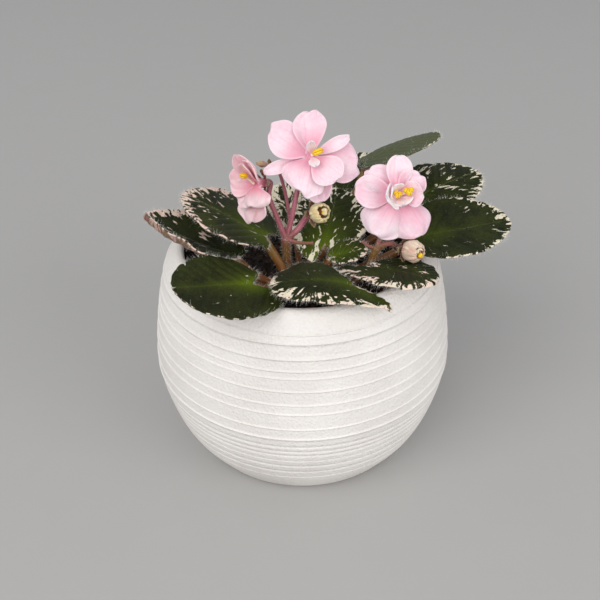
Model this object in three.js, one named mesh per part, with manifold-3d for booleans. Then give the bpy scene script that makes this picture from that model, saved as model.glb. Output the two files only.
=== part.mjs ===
// Miniature African violet in flower, growing in a round white pot with thin raised rings.
// Millimetres, +Z up. The origin is the centre of the pot's flat underside, and -Y faces the viewer.

import * as THREE from "three";
import { mergeVertices } from "three/addons/utils/BufferGeometryUtils.js";
import Module from "manifold-3d";

const wasm = await Module();
wasm.setup();

// Pot
const POT_HEIGHT = 72.2;
const POT_RIM_RADIUS = 38.5;
const POT_WALL = 2.0;
const POT_FLOOR = 3.0;
const POT_FLOOR_RADIUS = 35.2;
const POT_SIDES = 32;
const POT_FOOT_RADIUS = 33.4;
// Outer radius of the wall at a few heights, as [height, radius].
const POT_OUTLINE = [
  [1.2, 35.7],
  [9.3, 41.2],
  [18.7, 45.0],
  [31.4, 47.7],
  [46.6, 46.7],
  [60.6, 44.3],
  [66.5, 42.6],
  [70.6, 40.4],
];
const RING_HEIGHTS = [32.1, 36.0, 41.3, 44.5, 49.1, 53.3, 55.7, 59.3, 64.0, 66.5];
const RING_RISE = 0.35;
const RING_HALF_WIDTH = 0.45;
const SHOULDER_HEIGHT = 69.5;
// Heights of the plain lower part, the rolled lip as steps from the rim, and heights of the inside wall.
const PLAIN_HEIGHTS = [5, 9.5, 15, 21, 27];
const POT_LIP = [[0.7, -0.9], [0, 0], [-1.1, 0.1], [-2, -0.7]];
const INSIDE_HEIGHTS = [68.5, 64.5, 54, 38, 22, 9];

// Soil, a little hollow round the crown
const SOIL_TOP = 64.3;
const SOIL_LUMP = 0.35;
const SOIL_HOLLOW = 1.5;
const SOIL_HOLLOW_RADIUS = 12;
const SOIL_RINGS = 4;
// How far the cutter of the crown's hole stands above the soil.
const SOIL_HOLE_RISE = 10;

// Gap left between neighbouring pieces, and the size below which detail is dropped where solids join
const GAP = 0.3;
const SLIVER = 0.05;

// Crown, the short woody stem that all leaves and flower stalks grow from
const CROWN = new THREE.Vector3(1.5, -13, 0);
const CROWN_AXIS = new THREE.Vector3(0, 0, 1);
const CROWN_RADIUS = 4.4;
const CROWN_BOTTOM = 58;
const CROWN_TOP = 71.5;
const CROWN_SIDES = 16;
// The rounded foot and the rounded head of the crown, as [in from its radius, height].
const CROWN_OUTLINE = [
  [1.5, CROWN_BOTTOM],
  [0, CROWN_BOTTOM + 2],
  [0, CROWN_TOP - 1.6],
  [0.5, CROWN_TOP - 0.6],
  [2, CROWN_TOP],
];

// Leaf blades
const LEAF_ROWS = 16;
const LEAF_COLUMNS = 6;
const LEAF_THICKNESS = 1.0;
const LEAF_EDGE_THICKNESS = 0.7;
const LEAF_RIB = 0.5;
const LEAF_TOOTH = 0.3;
const PETIOLE_RADIUS = 1.35;
const YOUNG_PETIOLE_RADIUS = 0.95;
const PETIOLE_TIP_RADIUS = 0.7;
const PETIOLE_STEPS = 9;
// A petiole sets out level for a little, sags by a share of its span, and ends under the midrib.
const PETIOLE_LEVEL = 1.2;
const PETIOLE_SAG = 0.06;
const PETIOLE_UNDER = 4;
const PETIOLE_HEAD = new THREE.Vector3(0.3, 0, -0.75);
const PETIOLE_SINK = 0.6;
const LEAF_FORM = { widest: 0.42, fullness: 0.57, neck: 0.2, tip: 0.6, rounding: 3 };

// Each leaf: where its petiole leaves the crown (angle and height), where the petiole meets the blade,
// the way the midrib points (heading, pitch, roll in degrees), and the form of the blade.
// cup lifts the two edges, left then right; lobes are the heart-shaped lobes behind the petiole.
// via are places the petiole passes; a notch is one deep cut in the edge. A leaf may have its own
// fullness, neck and rounding of its lobes in place of the common form.
const LEAVES = {
  leaf_front_left: {
    leaves: [240, 66.2], junction: [-14, -31.3, 76.4], heading: 207, pitch: 16, roll: -14,
    length: 24, width: 26, arch: 5, cup: [1, 0], lobes: [9.4, 3.2], skew: 0.08, bend: 0,
    fullness: 0.5, neck: 0.5, rounding: 6,
    notch: { row: 11, side: -1, depth: 1.7 },
  },
  leaf_front: {
    leaves: [-72, 66.2], junction: [14, -33.4, 77.1], heading: 179, pitch: 16, roll: 2,
    length: 23, width: 24.5, arch: 29, cup: [-2, -2.7], lobes: [12.4, -3.2], skew: -0.28, bend: 0.6,
    fullness: 0.42, neck: 0.6, rounding: 8,
  },
  leaf_front_right: {
    leaves: [-36, 65.8], junction: [21.8, -22.4, 76], heading: -26, pitch: 6, roll: -11,
    length: 18, width: 22.3, arch: 16, cup: [-0.7, -1.1], lobes: [3, 13], skew: 0.15, bend: 2,
  },
  leaf_right: {
    leaves: [14, 65.8], junction: [35.4, -7, 76.7], heading: 8, pitch: 8, roll: 7.5,
    length: 28.7, width: 28.4, arch: 3, cup: [0.8, 1.2], lobes: [5.5, 6], skew: 0.05, bend: 0,
  },
  leaf_right_back: {
    leaves: [50, 65.8], junction: [35, 12.85, 78.55], heading: 29, pitch: 15, roll: 8,
    length: 26.5, width: 25.7, arch: 12, cup: [-0.9, 0], lobes: [4, 4], skew: 0.05, bend: -1,
  },
  leaf_back_high: {
    leaves: [20, 69], via: [[12.6, 3.4, 76.4], [15.7, 9, 78.9]],
    junction: [21.2, 20, 88.8], heading: 23, pitch: 16, roll: -17,
    length: 26, width: 22, arch: 8, cup: [-0.9, -0.2], lobes: [1.5, 3], skew: 0, bend: 0.6,
    fullness: 0.42,
  },
  leaf_back: {
    leaves: [88, 65.8], junction: [9.5, 10.4, 77], heading: 60, pitch: 18, roll: 8,
    length: 30.5, width: 27, arch: 10, cup: [-1, -0.5], lobes: [4, 3], skew: 0, bend: 0,
  },
  leaf_centre: {
    leaves: [66, 68.8], junction: [7, -8.2, 75.5], heading: 76, pitch: 24, roll: 7,
    length: 23.3, width: 22.9, arch: 11, cup: [0.2, 0.7], lobes: [7.3, 1.1], skew: 0, bend: 0.6,
  },
  leaf_left_back: {
    leaves: [192, 68.4], junction: [-11.1, -11, 80.5], heading: 160, pitch: 21, roll: 2.6,
    length: 27.7, width: 27.3, arch: 4, cup: [1.4, -0.4], lobes: [3.2, 3.4], skew: -0.08, bend: -1.2,
    fullness: 0.53, neck: 0.5, rounding: 6,
  },
  leaf_left: {
    leaves: [210, 65.6], via: [[-8, -17, 67], [-14, -16.4, 69.6]],
    junction: [-19.3, -12.2, 74.2], heading: 175, pitch: 15, roll: 8.5,
    length: 30, width: 24.7, arch: -16, cup: [3, 3.9], lobes: [1, 2.2], skew: 0.06, bend: -1.5,
  },
  young_leaf_back: {
    young: true, leaves: [112, 68.6], junction: [-2, 1.2, 75.9], heading: 104, pitch: 27, roll: 0,
    length: 18, width: 13, arch: 8, cup: [0.8, 0.8], lobes: [2, 2], skew: 0, bend: 0,
  },
  young_leaf_front: {
    young: true, leaves: [-4, 71], junction: [9.4, -14, 74.6], heading: 2, pitch: 16, roll: 8,
    length: 10.5, width: 10, arch: 6, cup: [0.6, 0.8], lobes: [1.5, 1.5], skew: 0, bend: 0,
  },
};

// Flower stalks: points and radii of each branch, from its root to its tip.
// A branch that carries a flower or a bud runs on to the back of it and ends in a small green cup.
const STALK_SIDES = 6;
const CUP_RADIUS = 1.5;
const CUP_LENGTH = 2.2;
const STALKS = {
  flower_stalk_left: [
    {
      leaves: [150, 68.4],
      points: [[-4.4, -10.4, 71.4], [-4.5, -10.8, 75], [-4.6, -11, 79.4]],
      radii: [1.2, 1.3, 1.3, 1.3, 1.5],
    },
    {
      bears: "left_flower",
      points: [[-4.6, -11, 79], [-7.7, -10.5, 88], [-9.4, -9.4, 93]],
      radii: [0.9, 0.75, 0.75],
    },
    {
      bears: "top_flower",
      points: [[-4.5, -11, 79], [-2.4, -10.5, 88], [-0.4, -7.6, 96]],
      radii: [0.9, 0.75, 0.75],
    },
    {
      bears: "small_bud",
      points: [[-3.2, -10.6, 84], [-4.4, -7.6, 92], [-6, -5.6, 98]],
      radii: [0.55, 0.5, 0.5],
    },
    { bears: "faded_bud", points: [[-4.4, -11, 79.2], [-1.6, -11.4, 82]], radii: [1, 0.9] },
    { points: [[-4.4, -11.4, 79.4], [-1, -13, 79], [3.4, -13.4, 79]], radii: [0.8, 0.55, 0.4] },
  ],
  flower_stalk_right: [
    {
      leaves: [-11, 68],
      points: [[13, -14.6, 67.8], [18.3, -14.2, 69.4], [20.8, -14.8, 74], [22.3, -15, 78.1]],
      radii: [1.2, 1.2, 1.2, 1.25, 1.25, 1.35],
    },
    {
      bears: "right_flower",
      points: [[22.3, -15, 77.8], [23.4, -13.4, 81], [25.4, -9.4, 86.6]],
      radii: [0.9, 0.75, 0.75],
    },
    { bears: "round_bud", points: [[22.2, -15, 77.8], [25.6, -15, 79.6]], radii: [1, 0.9] },
    { points: [[22.3, -15, 78], [20.2, -15.2, 78.6], [17.8, -15.2, 80.4]], radii: [0.7, 0.5, 0.4] },
  ],
};

// Flowers: the throat's place, how steeply it looks up, how far it is turned, and its petals.
// Each petal: angle round the flower, lean forward, length, width, cup, arch, and its layer.
const FACING_HEIGHT = 34;
const PETAL_ROWS = 5;
const PETAL_COLUMNS = 4;
const PETAL_THICKNESS = 0.7;
const PETAL_START = 0.6;
const PETAL_FORM = { widest: 0.62, fullness: 0.56, neck: 0.36 };
const PETAL_TIP = 0.08;
const THROAT_RADIUS = 1.5;
const THROAT_DEPTH = 1.8;
const THROAT_TOP = 1.0;
const THROAT_SIDES = 10;
// The throat's side from back to front, as [share of its radius, height].
const THROAT_OUTLINE = [[0.7, -THROAT_DEPTH], [1, -0.4], [1, 0.6], [0.6, THROAT_TOP]];
const FILAMENT_RADIUS = 0.4;
const FILAMENT_START = 1.7;
const SAC_SIDES = 8;
const SAC_RINGS = 5;
const FLOWERS = {
  top_flower: {
    throat: [3.0, -9.0, 105.2],
    rise: FACING_HEIGHT,
    turn: 6,
    colour: "petal",
    petals: [
      { angle: 149, lean: 6, length: 13, width: 9.6, cup: 0.6, arch: 8, layer: 0 },
      { angle: 92, lean: 4, length: 12.2, width: 8.8, cup: 0.8, arch: 6, layer: 0.3 },
      { angle: 21, lean: -2, length: 11.6, width: 3.4, cup: 0.8, arch: -10, layer: 0 },
      { angle: -11, lean: -6, length: 13.8, width: 10.8, cup: 0.6, arch: 12, layer: -0.4 },
      { angle: -50, lean: 16, length: 9.6, width: 9, cup: 0.8, arch: 20, layer: 0.5 },
      { angle: -119, lean: 12, length: 10.2, width: 12, cup: -1.3, arch: 20, layer: 0.4 },
      { angle: -80, lean: -10, length: 12.8, width: 7.2, cup: 1.0, arch: 4, layer: -0.6 },
      { angle: 195, lean: -8, length: 13.8, width: 3.4, cup: 1.0, arch: -6, layer: -0.4 },
      { angle: 96, lean: 52, length: 6, width: 2.4, cup: 0.4, arch: -20, layer: 0.5 },
      { angle: -78, lean: 48, length: 4.6, width: 2.8, cup: 0.4, arch: 0, layer: 0.6 },
    ],
    anthers: [{ at: [1.6, 0.6, 3.6], size: [1.7, 1.0, 0.9], turn: 18 }],
  },
  right_flower: {
    throat: [27.8, -12.0, 93.6],
    rise: FACING_HEIGHT,
    turn: 10,
    colour: "petal",
    petals: [
      { angle: 168, lean: 8, length: 12, width: 8.8, cup: 0.8, arch: 14, layer: 0 },
      { angle: 128, lean: 4, length: 10.8, width: 7.8, cup: 0.6, arch: 0, layer: -0.4 },
      { angle: 82, lean: 8, length: 11.2, width: 7, cup: 1.2, arch: 6, layer: 0.2 },
      { angle: 40, lean: 14, length: 8.6, width: 7.6, cup: 0.8, arch: 0, layer: 0 },
      { angle: 2, lean: 24, length: 7, width: 7, cup: 1.2, arch: -10, layer: 0.3 },
      { angle: -124, lean: 6, length: 13, width: 12.4, cup: -2.2, arch: 34, layer: 0.4 },
      { angle: -66, lean: 5, length: 13.2, width: 11.2, cup: -1.8, arch: 26, layer: 0 },
      { angle: -170, lean: 42, length: 6.8, width: 7, cup: 1.4, arch: -20, layer: 0.6 },
      { angle: 132, lean: 56, length: 5.4, width: 5, cup: 1.2, arch: -10, layer: 0.7 },
      { angle: -84, lean: 44, length: 4.2, width: 6.6, cup: 1.2, arch: -10, layer: 0.6 },
    ],
    anthers: [
      { at: [-0.7, 0.2, 4.1], size: [1.2, 0.9, 0.9], turn: -20 },
      { at: [2.5, 0.8, 4.3], size: [1.5, 1.0, 0.9], turn: 5 },
    ],
  },
  left_flower: {
    throat: [-12.2, -10.0, 97.3],
    rise: 16,
    turn: -52,
    colour: "petalDeep",
    petals: [
      { angle: 116, lean: 42, length: 10, width: 7.6, cup: 0.8, arch: 6, layer: 0 },
      { angle: 76, lean: 42, length: 9.4, width: 7.6, cup: 0.8, arch: 0, layer: 0.4 },
      { angle: 96, lean: 54, length: 8, width: 5, cup: 0.6, arch: 10, layer: 0.8 },
      { angle: -66, lean: 36, length: 7, width: 12.6, cup: -1.4, arch: 30, layer: 0.8 },
      { angle: -76, lean: 8, length: 10.8, width: 11.4, cup: 0.8, arch: 10, layer: 0 },
      { angle: -128, lean: 20, length: 8.8, width: 8.2, cup: 0.8, arch: 10, layer: -0.2 },
      { angle: -160, lean: 20, length: 9.6, width: 7.6, cup: 0.8, arch: 10, layer: 0.2 },
      { angle: 165, lean: 16, length: 8.6, width: 6.4, cup: 0.8, arch: 8, layer: -0.2 },
    ],
    anthers: [{ at: [-0.2, 2.4, 5.8], size: [1.0, 0.9, 1.4], turn: 0 }],
  },
};

// Buds: centre, radii, the way the opening faces, and how deep the furrows between the petals are.
const BUDS = {
  faded_bud: {
    centre: [5.5, -12, 88.5], radii: [3.1, 3.1, 3.6], rise: 30, turn: 36, lobes: 5, furrow: 0.09,
  },
  round_bud: {
    centre: [32.7, -17.5, 78.3], radii: [3.4, 3.4, 3.8], rise: 14, turn: 40, lobes: 5, furrow: 0.07,
  },
  small_bud: {
    centre: [-11.2, -5.2, 101.1], radii: [1.0, 1.0, 2.1], rise: 12, turn: -88, lobes: 4, furrow: 0.06,
  },
};
const BUD_SIDES = 15;
const BUD_RINGS = 7;
const BUD_DIMPLE = 0.25;
const BUD_MOUTH = 0.4;

const COLOURS = {
  pot: 0xe9e7e4,
  soil: 0x1d1411,
  crown: 0x4a3220,
  leaf: 0x2f4220,
  youngLeaf: 0x6f8a3a,
  stalk: 0x8c3a4e,
  petal: 0xf3c3cf,
  petalDeep: 0xee9fae,
  anther: 0xf0bf10,
  bud: 0xe6dbab,
};

// Solids

function toSolid(positions, triangles) {
  const geometry = new THREE.BufferGeometry();
  geometry.setAttribute("position", new THREE.Float32BufferAttribute(positions, 3));
  geometry.setIndex(triangles);
  return solidOfGeometry(geometry);
}

function solidOfGeometry(geometry) {
  const bare = geometry.clone();
  bare.deleteAttribute("normal");
  bare.deleteAttribute("uv");
  const merged = mergeVertices(bare, 1e-4);
  const index = merged.index.array;
  const kept = [];
  for (let i = 0; i < index.length; i += 3) {
    const [a, b, c] = [index[i], index[i + 1], index[i + 2]];
    if (a !== b && b !== c && a !== c) kept.push(a, b, c);
  }
  return new wasm.Manifold(
    new wasm.Mesh({
      numProp: 3,
      vertProperties: merged.attributes.position.array,
      triVerts: new Uint32Array(kept),
    }),
  );
}

function geometryOfSolid(solid) {
  const { vertProperties, triVerts } = solid.getMesh();
  const geometry = new THREE.BufferGeometry();
  geometry.setAttribute("position", new THREE.BufferAttribute(vertProperties, 3));
  geometry.setIndex(new THREE.BufferAttribute(triVerts, 1));
  geometry.computeVertexNormals();
  return geometry;
}

// Joins solids into one body, without the specks and slivers that form where their faces cross.
function join(solids) {
  const whole = solids.reduce((sum, solid) => sum.add(solid)).simplify(SLIVER);
  return whole.decompose().reduce((largest, body) => (body.volume() > largest.volume() ? body : largest));
}

function piece(name, solid, colour, roughness) {
  const material = new THREE.MeshStandardMaterial({ color: colour, roughness, metalness: 0 });
  material.flatShading = true;
  const mesh = new THREE.Mesh(geometryOfSolid(solid), material);
  mesh.name = name;
  return mesh;
}

// A round bar along a smooth curve through points, with one radius for each point.
function tube(points, radii, steps, sides) {
  const curve = new THREE.CatmullRomCurve3(points);
  const frames = curve.computeFrenetFrames(steps);
  const positions = [];
  const triangles = [];
  for (let i = 0; i <= steps; i++) {
    const t = curve.getUtoTmapping(i / steps);
    const centre = curve.getPoint(t);
    const place = t * (radii.length - 1);
    const before = Math.min(Math.floor(place), radii.length - 2);
    const radius = THREE.MathUtils.lerp(radii[before], radii[before + 1], place - before);
    for (let j = 0; j < sides; j++) {
      const angle = (2 * Math.PI * j) / sides;
      const rim = centre
        .clone()
        .addScaledVector(frames.normals[i], radius * Math.cos(angle))
        .addScaledVector(frames.binormals[i], radius * Math.sin(angle));
      positions.push(rim.x, rim.y, rim.z);
    }
  }
  for (let i = 0; i < steps; i++) {
    for (let j = 0; j < sides; j++) {
      const k = (j + 1) % sides;
      const [a, b, c, d] = [i * sides + j, i * sides + k, (i + 1) * sides + k, (i + 1) * sides + j];
      triangles.push(a, b, c, a, c, d);
    }
  }
  for (let j = 1; j < sides - 1; j++) {
    triangles.push(0, j + 1, j);
    triangles.push(steps * sides, steps * sides + j, steps * sides + j + 1);
  }
  return toSolid(positions, triangles);
}

// A thin curved blade: the middle surface is point(u, v), u from base to tip and v from -1 to 1.
// The same diagonals split its upper and lower faces.
function bladeSolid(point, rows, columns, thickness) {
  const grid = [];
  for (let i = 0; i <= rows; i++) {
    const t = i / rows;
    const u = 0.5 * t + 0.25 * (1 - Math.cos(Math.PI * t));
    for (let j = 0; j <= columns; j++) {
      const v = (2 * j) / columns - 1;
      grid.push({ u, v, middle: point(u, v, i) });
    }
  }
  const at = (i, j) => {
    const row = THREE.MathUtils.clamp(i, 0, rows);
    const column = THREE.MathUtils.clamp(j, 0, columns);
    return grid[row * (columns + 1) + column];
  };
  const positions = [];
  for (const side of [1, -1]) {
    for (let i = 0; i <= rows; i++) {
      for (let j = 0; j <= columns; j++) {
        const { u, v, middle } = at(i, j);
        const along = at(i + 1, j).middle.clone().sub(at(i - 1, j).middle);
        const across = at(i, j + 1).middle.clone().sub(at(i, j - 1).middle);
        const normal = along.cross(across).normalize();
        const spot = middle.clone().addScaledVector(normal, side * thickness(u, v, side));
        positions.push(spot.x, spot.y, spot.z);
      }
    }
  }
  const lower = (rows + 1) * (columns + 1);
  const triangles = [];
  const number = (i, j) => i * (columns + 1) + j;
  for (let i = 0; i < rows; i++) {
    for (let j = 0; j < columns; j++) {
      const [a, b, c, d] = [number(i, j), number(i + 1, j), number(i + 1, j + 1), number(i, j + 1)];
      triangles.push(a, b, c, a, c, d);
      triangles.push(lower + a, lower + c, lower + b, lower + a, lower + d, lower + c);
    }
  }
  const edge = [];
  for (let i = 0; i < rows; i++) edge.push(number(i, 0));
  for (let j = 0; j < columns; j++) edge.push(number(rows, j));
  for (let i = rows; i > 0; i--) edge.push(number(i, columns));
  for (let j = columns; j > 0; j--) edge.push(number(0, j));
  edge.forEach((a, n) => {
    const b = edge[(n + 1) % edge.length];
    triangles.push(a, lower + a, lower + b, a, lower + b, b);
  });
  return toSolid(positions, triangles);
}

// Half the width of a blade at u, with its widest place, fullness and the neck at its base.
function halfWidth(u, { width, widest, fullness, neck, tip }) {
  const shift = Math.log(0.5) / Math.log(widest);
  const swell = Math.max(0, Math.sin(Math.PI * u ** shift)) ** fullness;
  return (width / 2) * Math.max(swell, neck * (1 - u) ** 2) + tip * u;
}

// A point of a blade in its own frame: X along the midrib from the base, Y across, Z up.
function bladePoint(u, v, shape, tooth = 0) {
  const { length, width, arch, cup, lobes, rounding, skew, bend } = shape;
  const side = Math.sign(v);
  const half = halfWidth(u, shape) * (1 + skew * side);
  const lobe = v < 0 ? lobes[1] : lobes[0];
  const swing = 1 - (1 - v * v) ** rounding;
  const reach = length * u - lobe * (1 - u) ** 3 * swing;
  const across = (half + tooth) * v + bend * (Math.max(reach, 0) / length) ** 2;
  const lift = ((v < 0 ? cup[1] : cup[0]) * v * v * half) / (width / 2);
  const curl = THREE.MathUtils.degToRad(arch) / length;
  const angle = curl * reach;
  const x = Math.abs(curl) < 1e-6 ? reach : Math.sin(angle) / curl;
  const z = Math.abs(curl) < 1e-6 ? 0 : (Math.cos(angle) - 1) / curl;
  return new THREE.Vector3(x + lift * Math.sin(angle), across, z + lift * Math.cos(angle));
}

// Turns a blade's own frame by roll, pitch and heading, and moves it to its base.
function bladePlace({ junction, heading, pitch, roll }) {
  const turn = (axis, degrees) =>
    new THREE.Matrix4().makeRotationAxis(axis, THREE.MathUtils.degToRad(degrees));
  return new THREE.Matrix4()
    .makeTranslation(...junction)
    .multiply(turn(new THREE.Vector3(0, 0, 1), heading))
    .multiply(turn(new THREE.Vector3(0, -1, 0), pitch))
    .multiply(turn(new THREE.Vector3(1, 0, 0), roll));
}

// Pot and soil

function outlineRadius(height) {
  const points = POT_OUTLINE;
  let i = 0;
  while (i < points.length - 2 && height > points[i + 1][0]) i++;
  const slope = (k) => {
    const [low, high] = [points[Math.max(k - 1, 0)], points[Math.min(k + 1, points.length - 1)]];
    return (high[1] - low[1]) / (high[0] - low[0]);
  };
  const [[z0, r0], [z1, r1]] = [points[i], points[i + 1]];
  const span = z1 - z0;
  const t = (height - z0) / span;
  const [t2, t3] = [t * t, t * t * t];
  return (
    (2 * t3 - 3 * t2 + 1) * r0 +
    (t3 - 2 * t2 + t) * span * slope(i) +
    (3 * t2 - 2 * t3) * r1 +
    (t3 - t2) * span * slope(i + 1)
  );
}

function potProfile() {
  const profile = [[0, 0], [POT_FOOT_RADIUS, 0], [POT_OUTLINE[0][1], POT_OUTLINE[0][0]]];
  for (const height of PLAIN_HEIGHTS) profile.push([outlineRadius(height), height]);
  for (const height of RING_HEIGHTS) {
    const below = height - RING_HALF_WIDTH;
    const above = height + RING_HALF_WIDTH;
    profile.push([outlineRadius(below), below]);
    profile.push([outlineRadius(height) + RING_RISE, height]);
    profile.push([outlineRadius(above), above]);
  }
  profile.push([outlineRadius(SHOULDER_HEIGHT), SHOULDER_HEIGHT]);
  for (const [out, up] of POT_LIP) profile.push([POT_RIM_RADIUS + out, POT_HEIGHT + up]);
  return profile;
}

// Inside of the wall, from the mouth down to the floor.
function potInside(extra) {
  const inside = INSIDE_HEIGHTS.map((height) => [outlineRadius(height) - POT_WALL - extra, height]);
  inside.push([POT_FLOOR_RADIUS - extra, POT_FLOOR + extra]);
  return inside;
}

function lathe(profile, sides) {
  const points = profile.map(([radius, height]) => new THREE.Vector2(radius, height));
  const geometry = new THREE.LatheGeometry(points, sides);
  geometry.rotateX(Math.PI / 2);
  return solidOfGeometry(geometry);
}

function potSolid() {
  return lathe([...potProfile(), ...potInside(0), [0, POT_FLOOR]], POT_SIDES);
}

function soilHeight(x, y) {
  const lumps = Math.sin(0.55 * x + 1.3) * Math.cos(0.47 * y) + 0.7 * Math.sin(0.9 * y - 0.4 * x);
  const away = Math.min(1, Math.hypot(x - CROWN.x, y - CROWN.y) / SOIL_HOLLOW_RADIUS);
  return SOIL_TOP + SOIL_LUMP * lumps * away - SOIL_HOLLOW * (1 - away * away);
}

function soilSolid() {
  const inside = potInside(GAP).filter(([, height]) => height < SOIL_TOP);
  const edge = outlineRadius(SOIL_TOP + 2 * SOIL_LUMP) - POT_WALL - GAP;
  const rings = inside.reverse().map(([radius, height]) => ({ radius, height: () => height }));
  for (let n = 0; n < SOIL_RINGS; n++) {
    rings.push({ radius: edge * (1 - n / SOIL_RINGS), height: soilHeight });
  }
  const positions = [0, 0, POT_FLOOR + GAP];
  for (const { radius, height } of rings) {
    for (let k = 0; k < POT_SIDES; k++) {
      const angle = (2 * Math.PI * k) / POT_SIDES;
      const [x, y] = [radius * Math.cos(angle), radius * Math.sin(angle)];
      positions.push(x, y, height(x, y));
    }
  }
  positions.push(0, 0, soilHeight(0, 0));
  const last = positions.length / 3 - 1;
  const triangles = [];
  const number = (ring, k) => 1 + ring * POT_SIDES + (k % POT_SIDES);
  for (let k = 0; k < POT_SIDES; k++) {
    triangles.push(0, number(0, k + 1), number(0, k));
    triangles.push(last, number(rings.length - 1, k), number(rings.length - 1, k + 1));
    for (let ring = 0; ring < rings.length - 1; ring++) {
      const [a, b] = [number(ring, k), number(ring, k + 1)];
      const [c, d] = [number(ring + 1, k + 1), number(ring + 1, k)];
      triangles.push(a, b, c, a, c, d);
    }
  }
  const [low, high] = [CROWN_BOTTOM - GAP, SOIL_TOP + SOIL_HOLE_RISE];
  const hole = new THREE.CylinderGeometry(
    CROWN_RADIUS + GAP, CROWN_RADIUS + GAP, high - low, CROWN_SIDES,
  );
  hole.rotateX(Math.PI / 2);
  hole.translate(CROWN.x, CROWN.y, (high + low) / 2);
  return toSolid(positions, triangles).subtract(solidOfGeometry(hole));
}

function crownSolid() {
  const side = CROWN_OUTLINE.map(([inwards, height]) => [CROWN_RADIUS - inwards, height]);
  const profile = [[0, CROWN_BOTTOM], ...side, [0, CROWN_TOP]];
  return lathe(profile, CROWN_SIDES).translate([CROWN.x, CROWN.y, 0]);
}

// Leaves

function leafBlade(leaf) {
  const shape = { ...LEAF_FORM, ...leaf };
  const place = bladePlace(leaf);
  const point = (u, v, row) => {
    let tooth = row % 2 && row < LEAF_ROWS - 1 ? LEAF_TOOTH : -LEAF_TOOTH / 2;
    if (leaf.notch && leaf.notch.row === row && v * leaf.notch.side > 0) tooth = -leaf.notch.depth;
    return bladePoint(u, v, shape, tooth).applyMatrix4(place);
  };
  const thickness = (u, v, side) => {
    const body = THREE.MathUtils.lerp(LEAF_THICKNESS, LEAF_EDGE_THICKNESS, Math.abs(v)) / 2;
    const rib = side < 0 ? LEAF_RIB * Math.max(0, 1 - 3 * Math.abs(v)) * (1 - u) : 0;
    return body + rib;
  };
  return bladeSolid(point, LEAF_ROWS, LEAF_COLUMNS, thickness);
}

// Where a petiole or a stalk leaves the crown, and the way it sets out.
function crownRoot(leaves) {
  const [angle, height] = leaves;
  const out = new THREE.Vector3(1, 0, 0).applyAxisAngle(CROWN_AXIS, THREE.MathUtils.degToRad(angle));
  const root = CROWN.clone().addScaledVector(out, CROWN_RADIUS + GAP);
  root.z = height;
  return { root, out };
}

// The petiole starts beside the crown, rises in a curve and runs on under the blade's midrib.
function petiole(leaf) {
  const { root, out } = crownRoot(leaf.leaves);
  const place = bladePlace(leaf);
  const under = PETIOLE_HEAD.clone().applyMatrix4(place);
  const end = bladePoint(PETIOLE_UNDER / leaf.length, 0, { ...LEAF_FORM, ...leaf });
  end.z -= PETIOLE_SINK;
  end.applyMatrix4(place);
  const span = under.clone().sub(root);
  const first = root.clone().addScaledVector(out, PETIOLE_LEVEL);
  const sag = root.clone().addScaledVector(span, 0.5);
  sag.z -= PETIOLE_SAG * span.length();
  const middle = leaf.via ? vectors(leaf.via) : [sag];
  const points = [root, first, ...middle, under, end];
  const thick = leaf.young ? YOUNG_PETIOLE_RADIUS : PETIOLE_RADIUS;
  const radii = points.map((_, n) => (n < points.length - 1 ? thick : PETIOLE_TIP_RADIUS));
  return tube(points, radii, PETIOLE_STEPS, STALK_SIDES);
}

function leafSolid(leaf) {
  return join([leafBlade(leaf), petiole(leaf)]);
}

// Flower stalks

function vectors(points) {
  return points.map((point) => new THREE.Vector3(...point));
}

// Turns a frame whose Z looks out of a flower or a bud, and whose Y points up.
function facing({ rise, turn }) {
  const { degToRad } = THREE.MathUtils;
  return new THREE.Euler(degToRad(90 - rise), 0, degToRad(turn), "ZXY");
}

// The last two points of a branch, on the axis behind the flower or the bud that it bears.
function cupPoints(name) {
  const plan = FLOWERS[name] ?? BUDS[name];
  const depth = FLOWERS[name] ? THROAT_DEPTH : plan.radii[2];
  const axis = new THREE.Vector3(0, 0, 1).applyEuler(facing(plan));
  const centre = new THREE.Vector3(...(plan.throat ?? plan.centre));
  return [depth + GAP + CUP_LENGTH, depth + GAP].map((back) => centre.clone().addScaledVector(axis, -back));
}

function branchSolid({ leaves, points, radii, bears }) {
  if (leaves) {
    const { root, out } = crownRoot(leaves);
    const first = root.clone().addScaledVector(out, PETIOLE_LEVEL);
    return tube([root, first, ...vectors(points)], radii, PETIOLE_STEPS, STALK_SIDES);
  }
  if (!bears) return tube(vectors(points), radii, 2 * (points.length - 1), STALK_SIDES);
  const last = radii[radii.length - 1];
  const tip = bears === "small_bud" ? last : CUP_RADIUS;
  const whole = [...vectors(points), ...cupPoints(bears)];
  return tube(whole, [...radii, 1.1 * last, tip], 3 * (whole.length - 1), STALK_SIDES);
}

// Flowers

function petalSolid({ angle, lean, length, width, cup, arch, layer }) {
  const plain = { lobes: [0, 0], rounding: 1, skew: 0, bend: 0, tip: PETAL_TIP * width };
  const shape = { ...PETAL_FORM, ...plain, length, width, arch, cup: [cup, cup] };
  const radians = THREE.MathUtils.degToRad(angle);
  const junction = [PETAL_START * Math.cos(radians), PETAL_START * Math.sin(radians), layer];
  const place = bladePlace({ junction, heading: angle, pitch: lean, roll: 0 });
  const point = (u, v) => bladePoint(u, v, shape).applyMatrix4(place);
  return bladeSolid(point, PETAL_ROWS, PETAL_COLUMNS, () => PETAL_THICKNESS / 2);
}

function throatSolid() {
  const side = THROAT_OUTLINE.map(([share, height]) => [share * THROAT_RADIUS, height]);
  return lathe([[0, -THROAT_DEPTH], ...side, [0, THROAT_TOP]], THROAT_SIDES);
}

function ellipsoid({ at, size, turn }) {
  const ball = solidOfGeometry(new THREE.SphereGeometry(1, SAC_SIDES, SAC_RINGS));
  return ball.scale(size).rotate([0, 0, turn]).translate(at);
}

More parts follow.
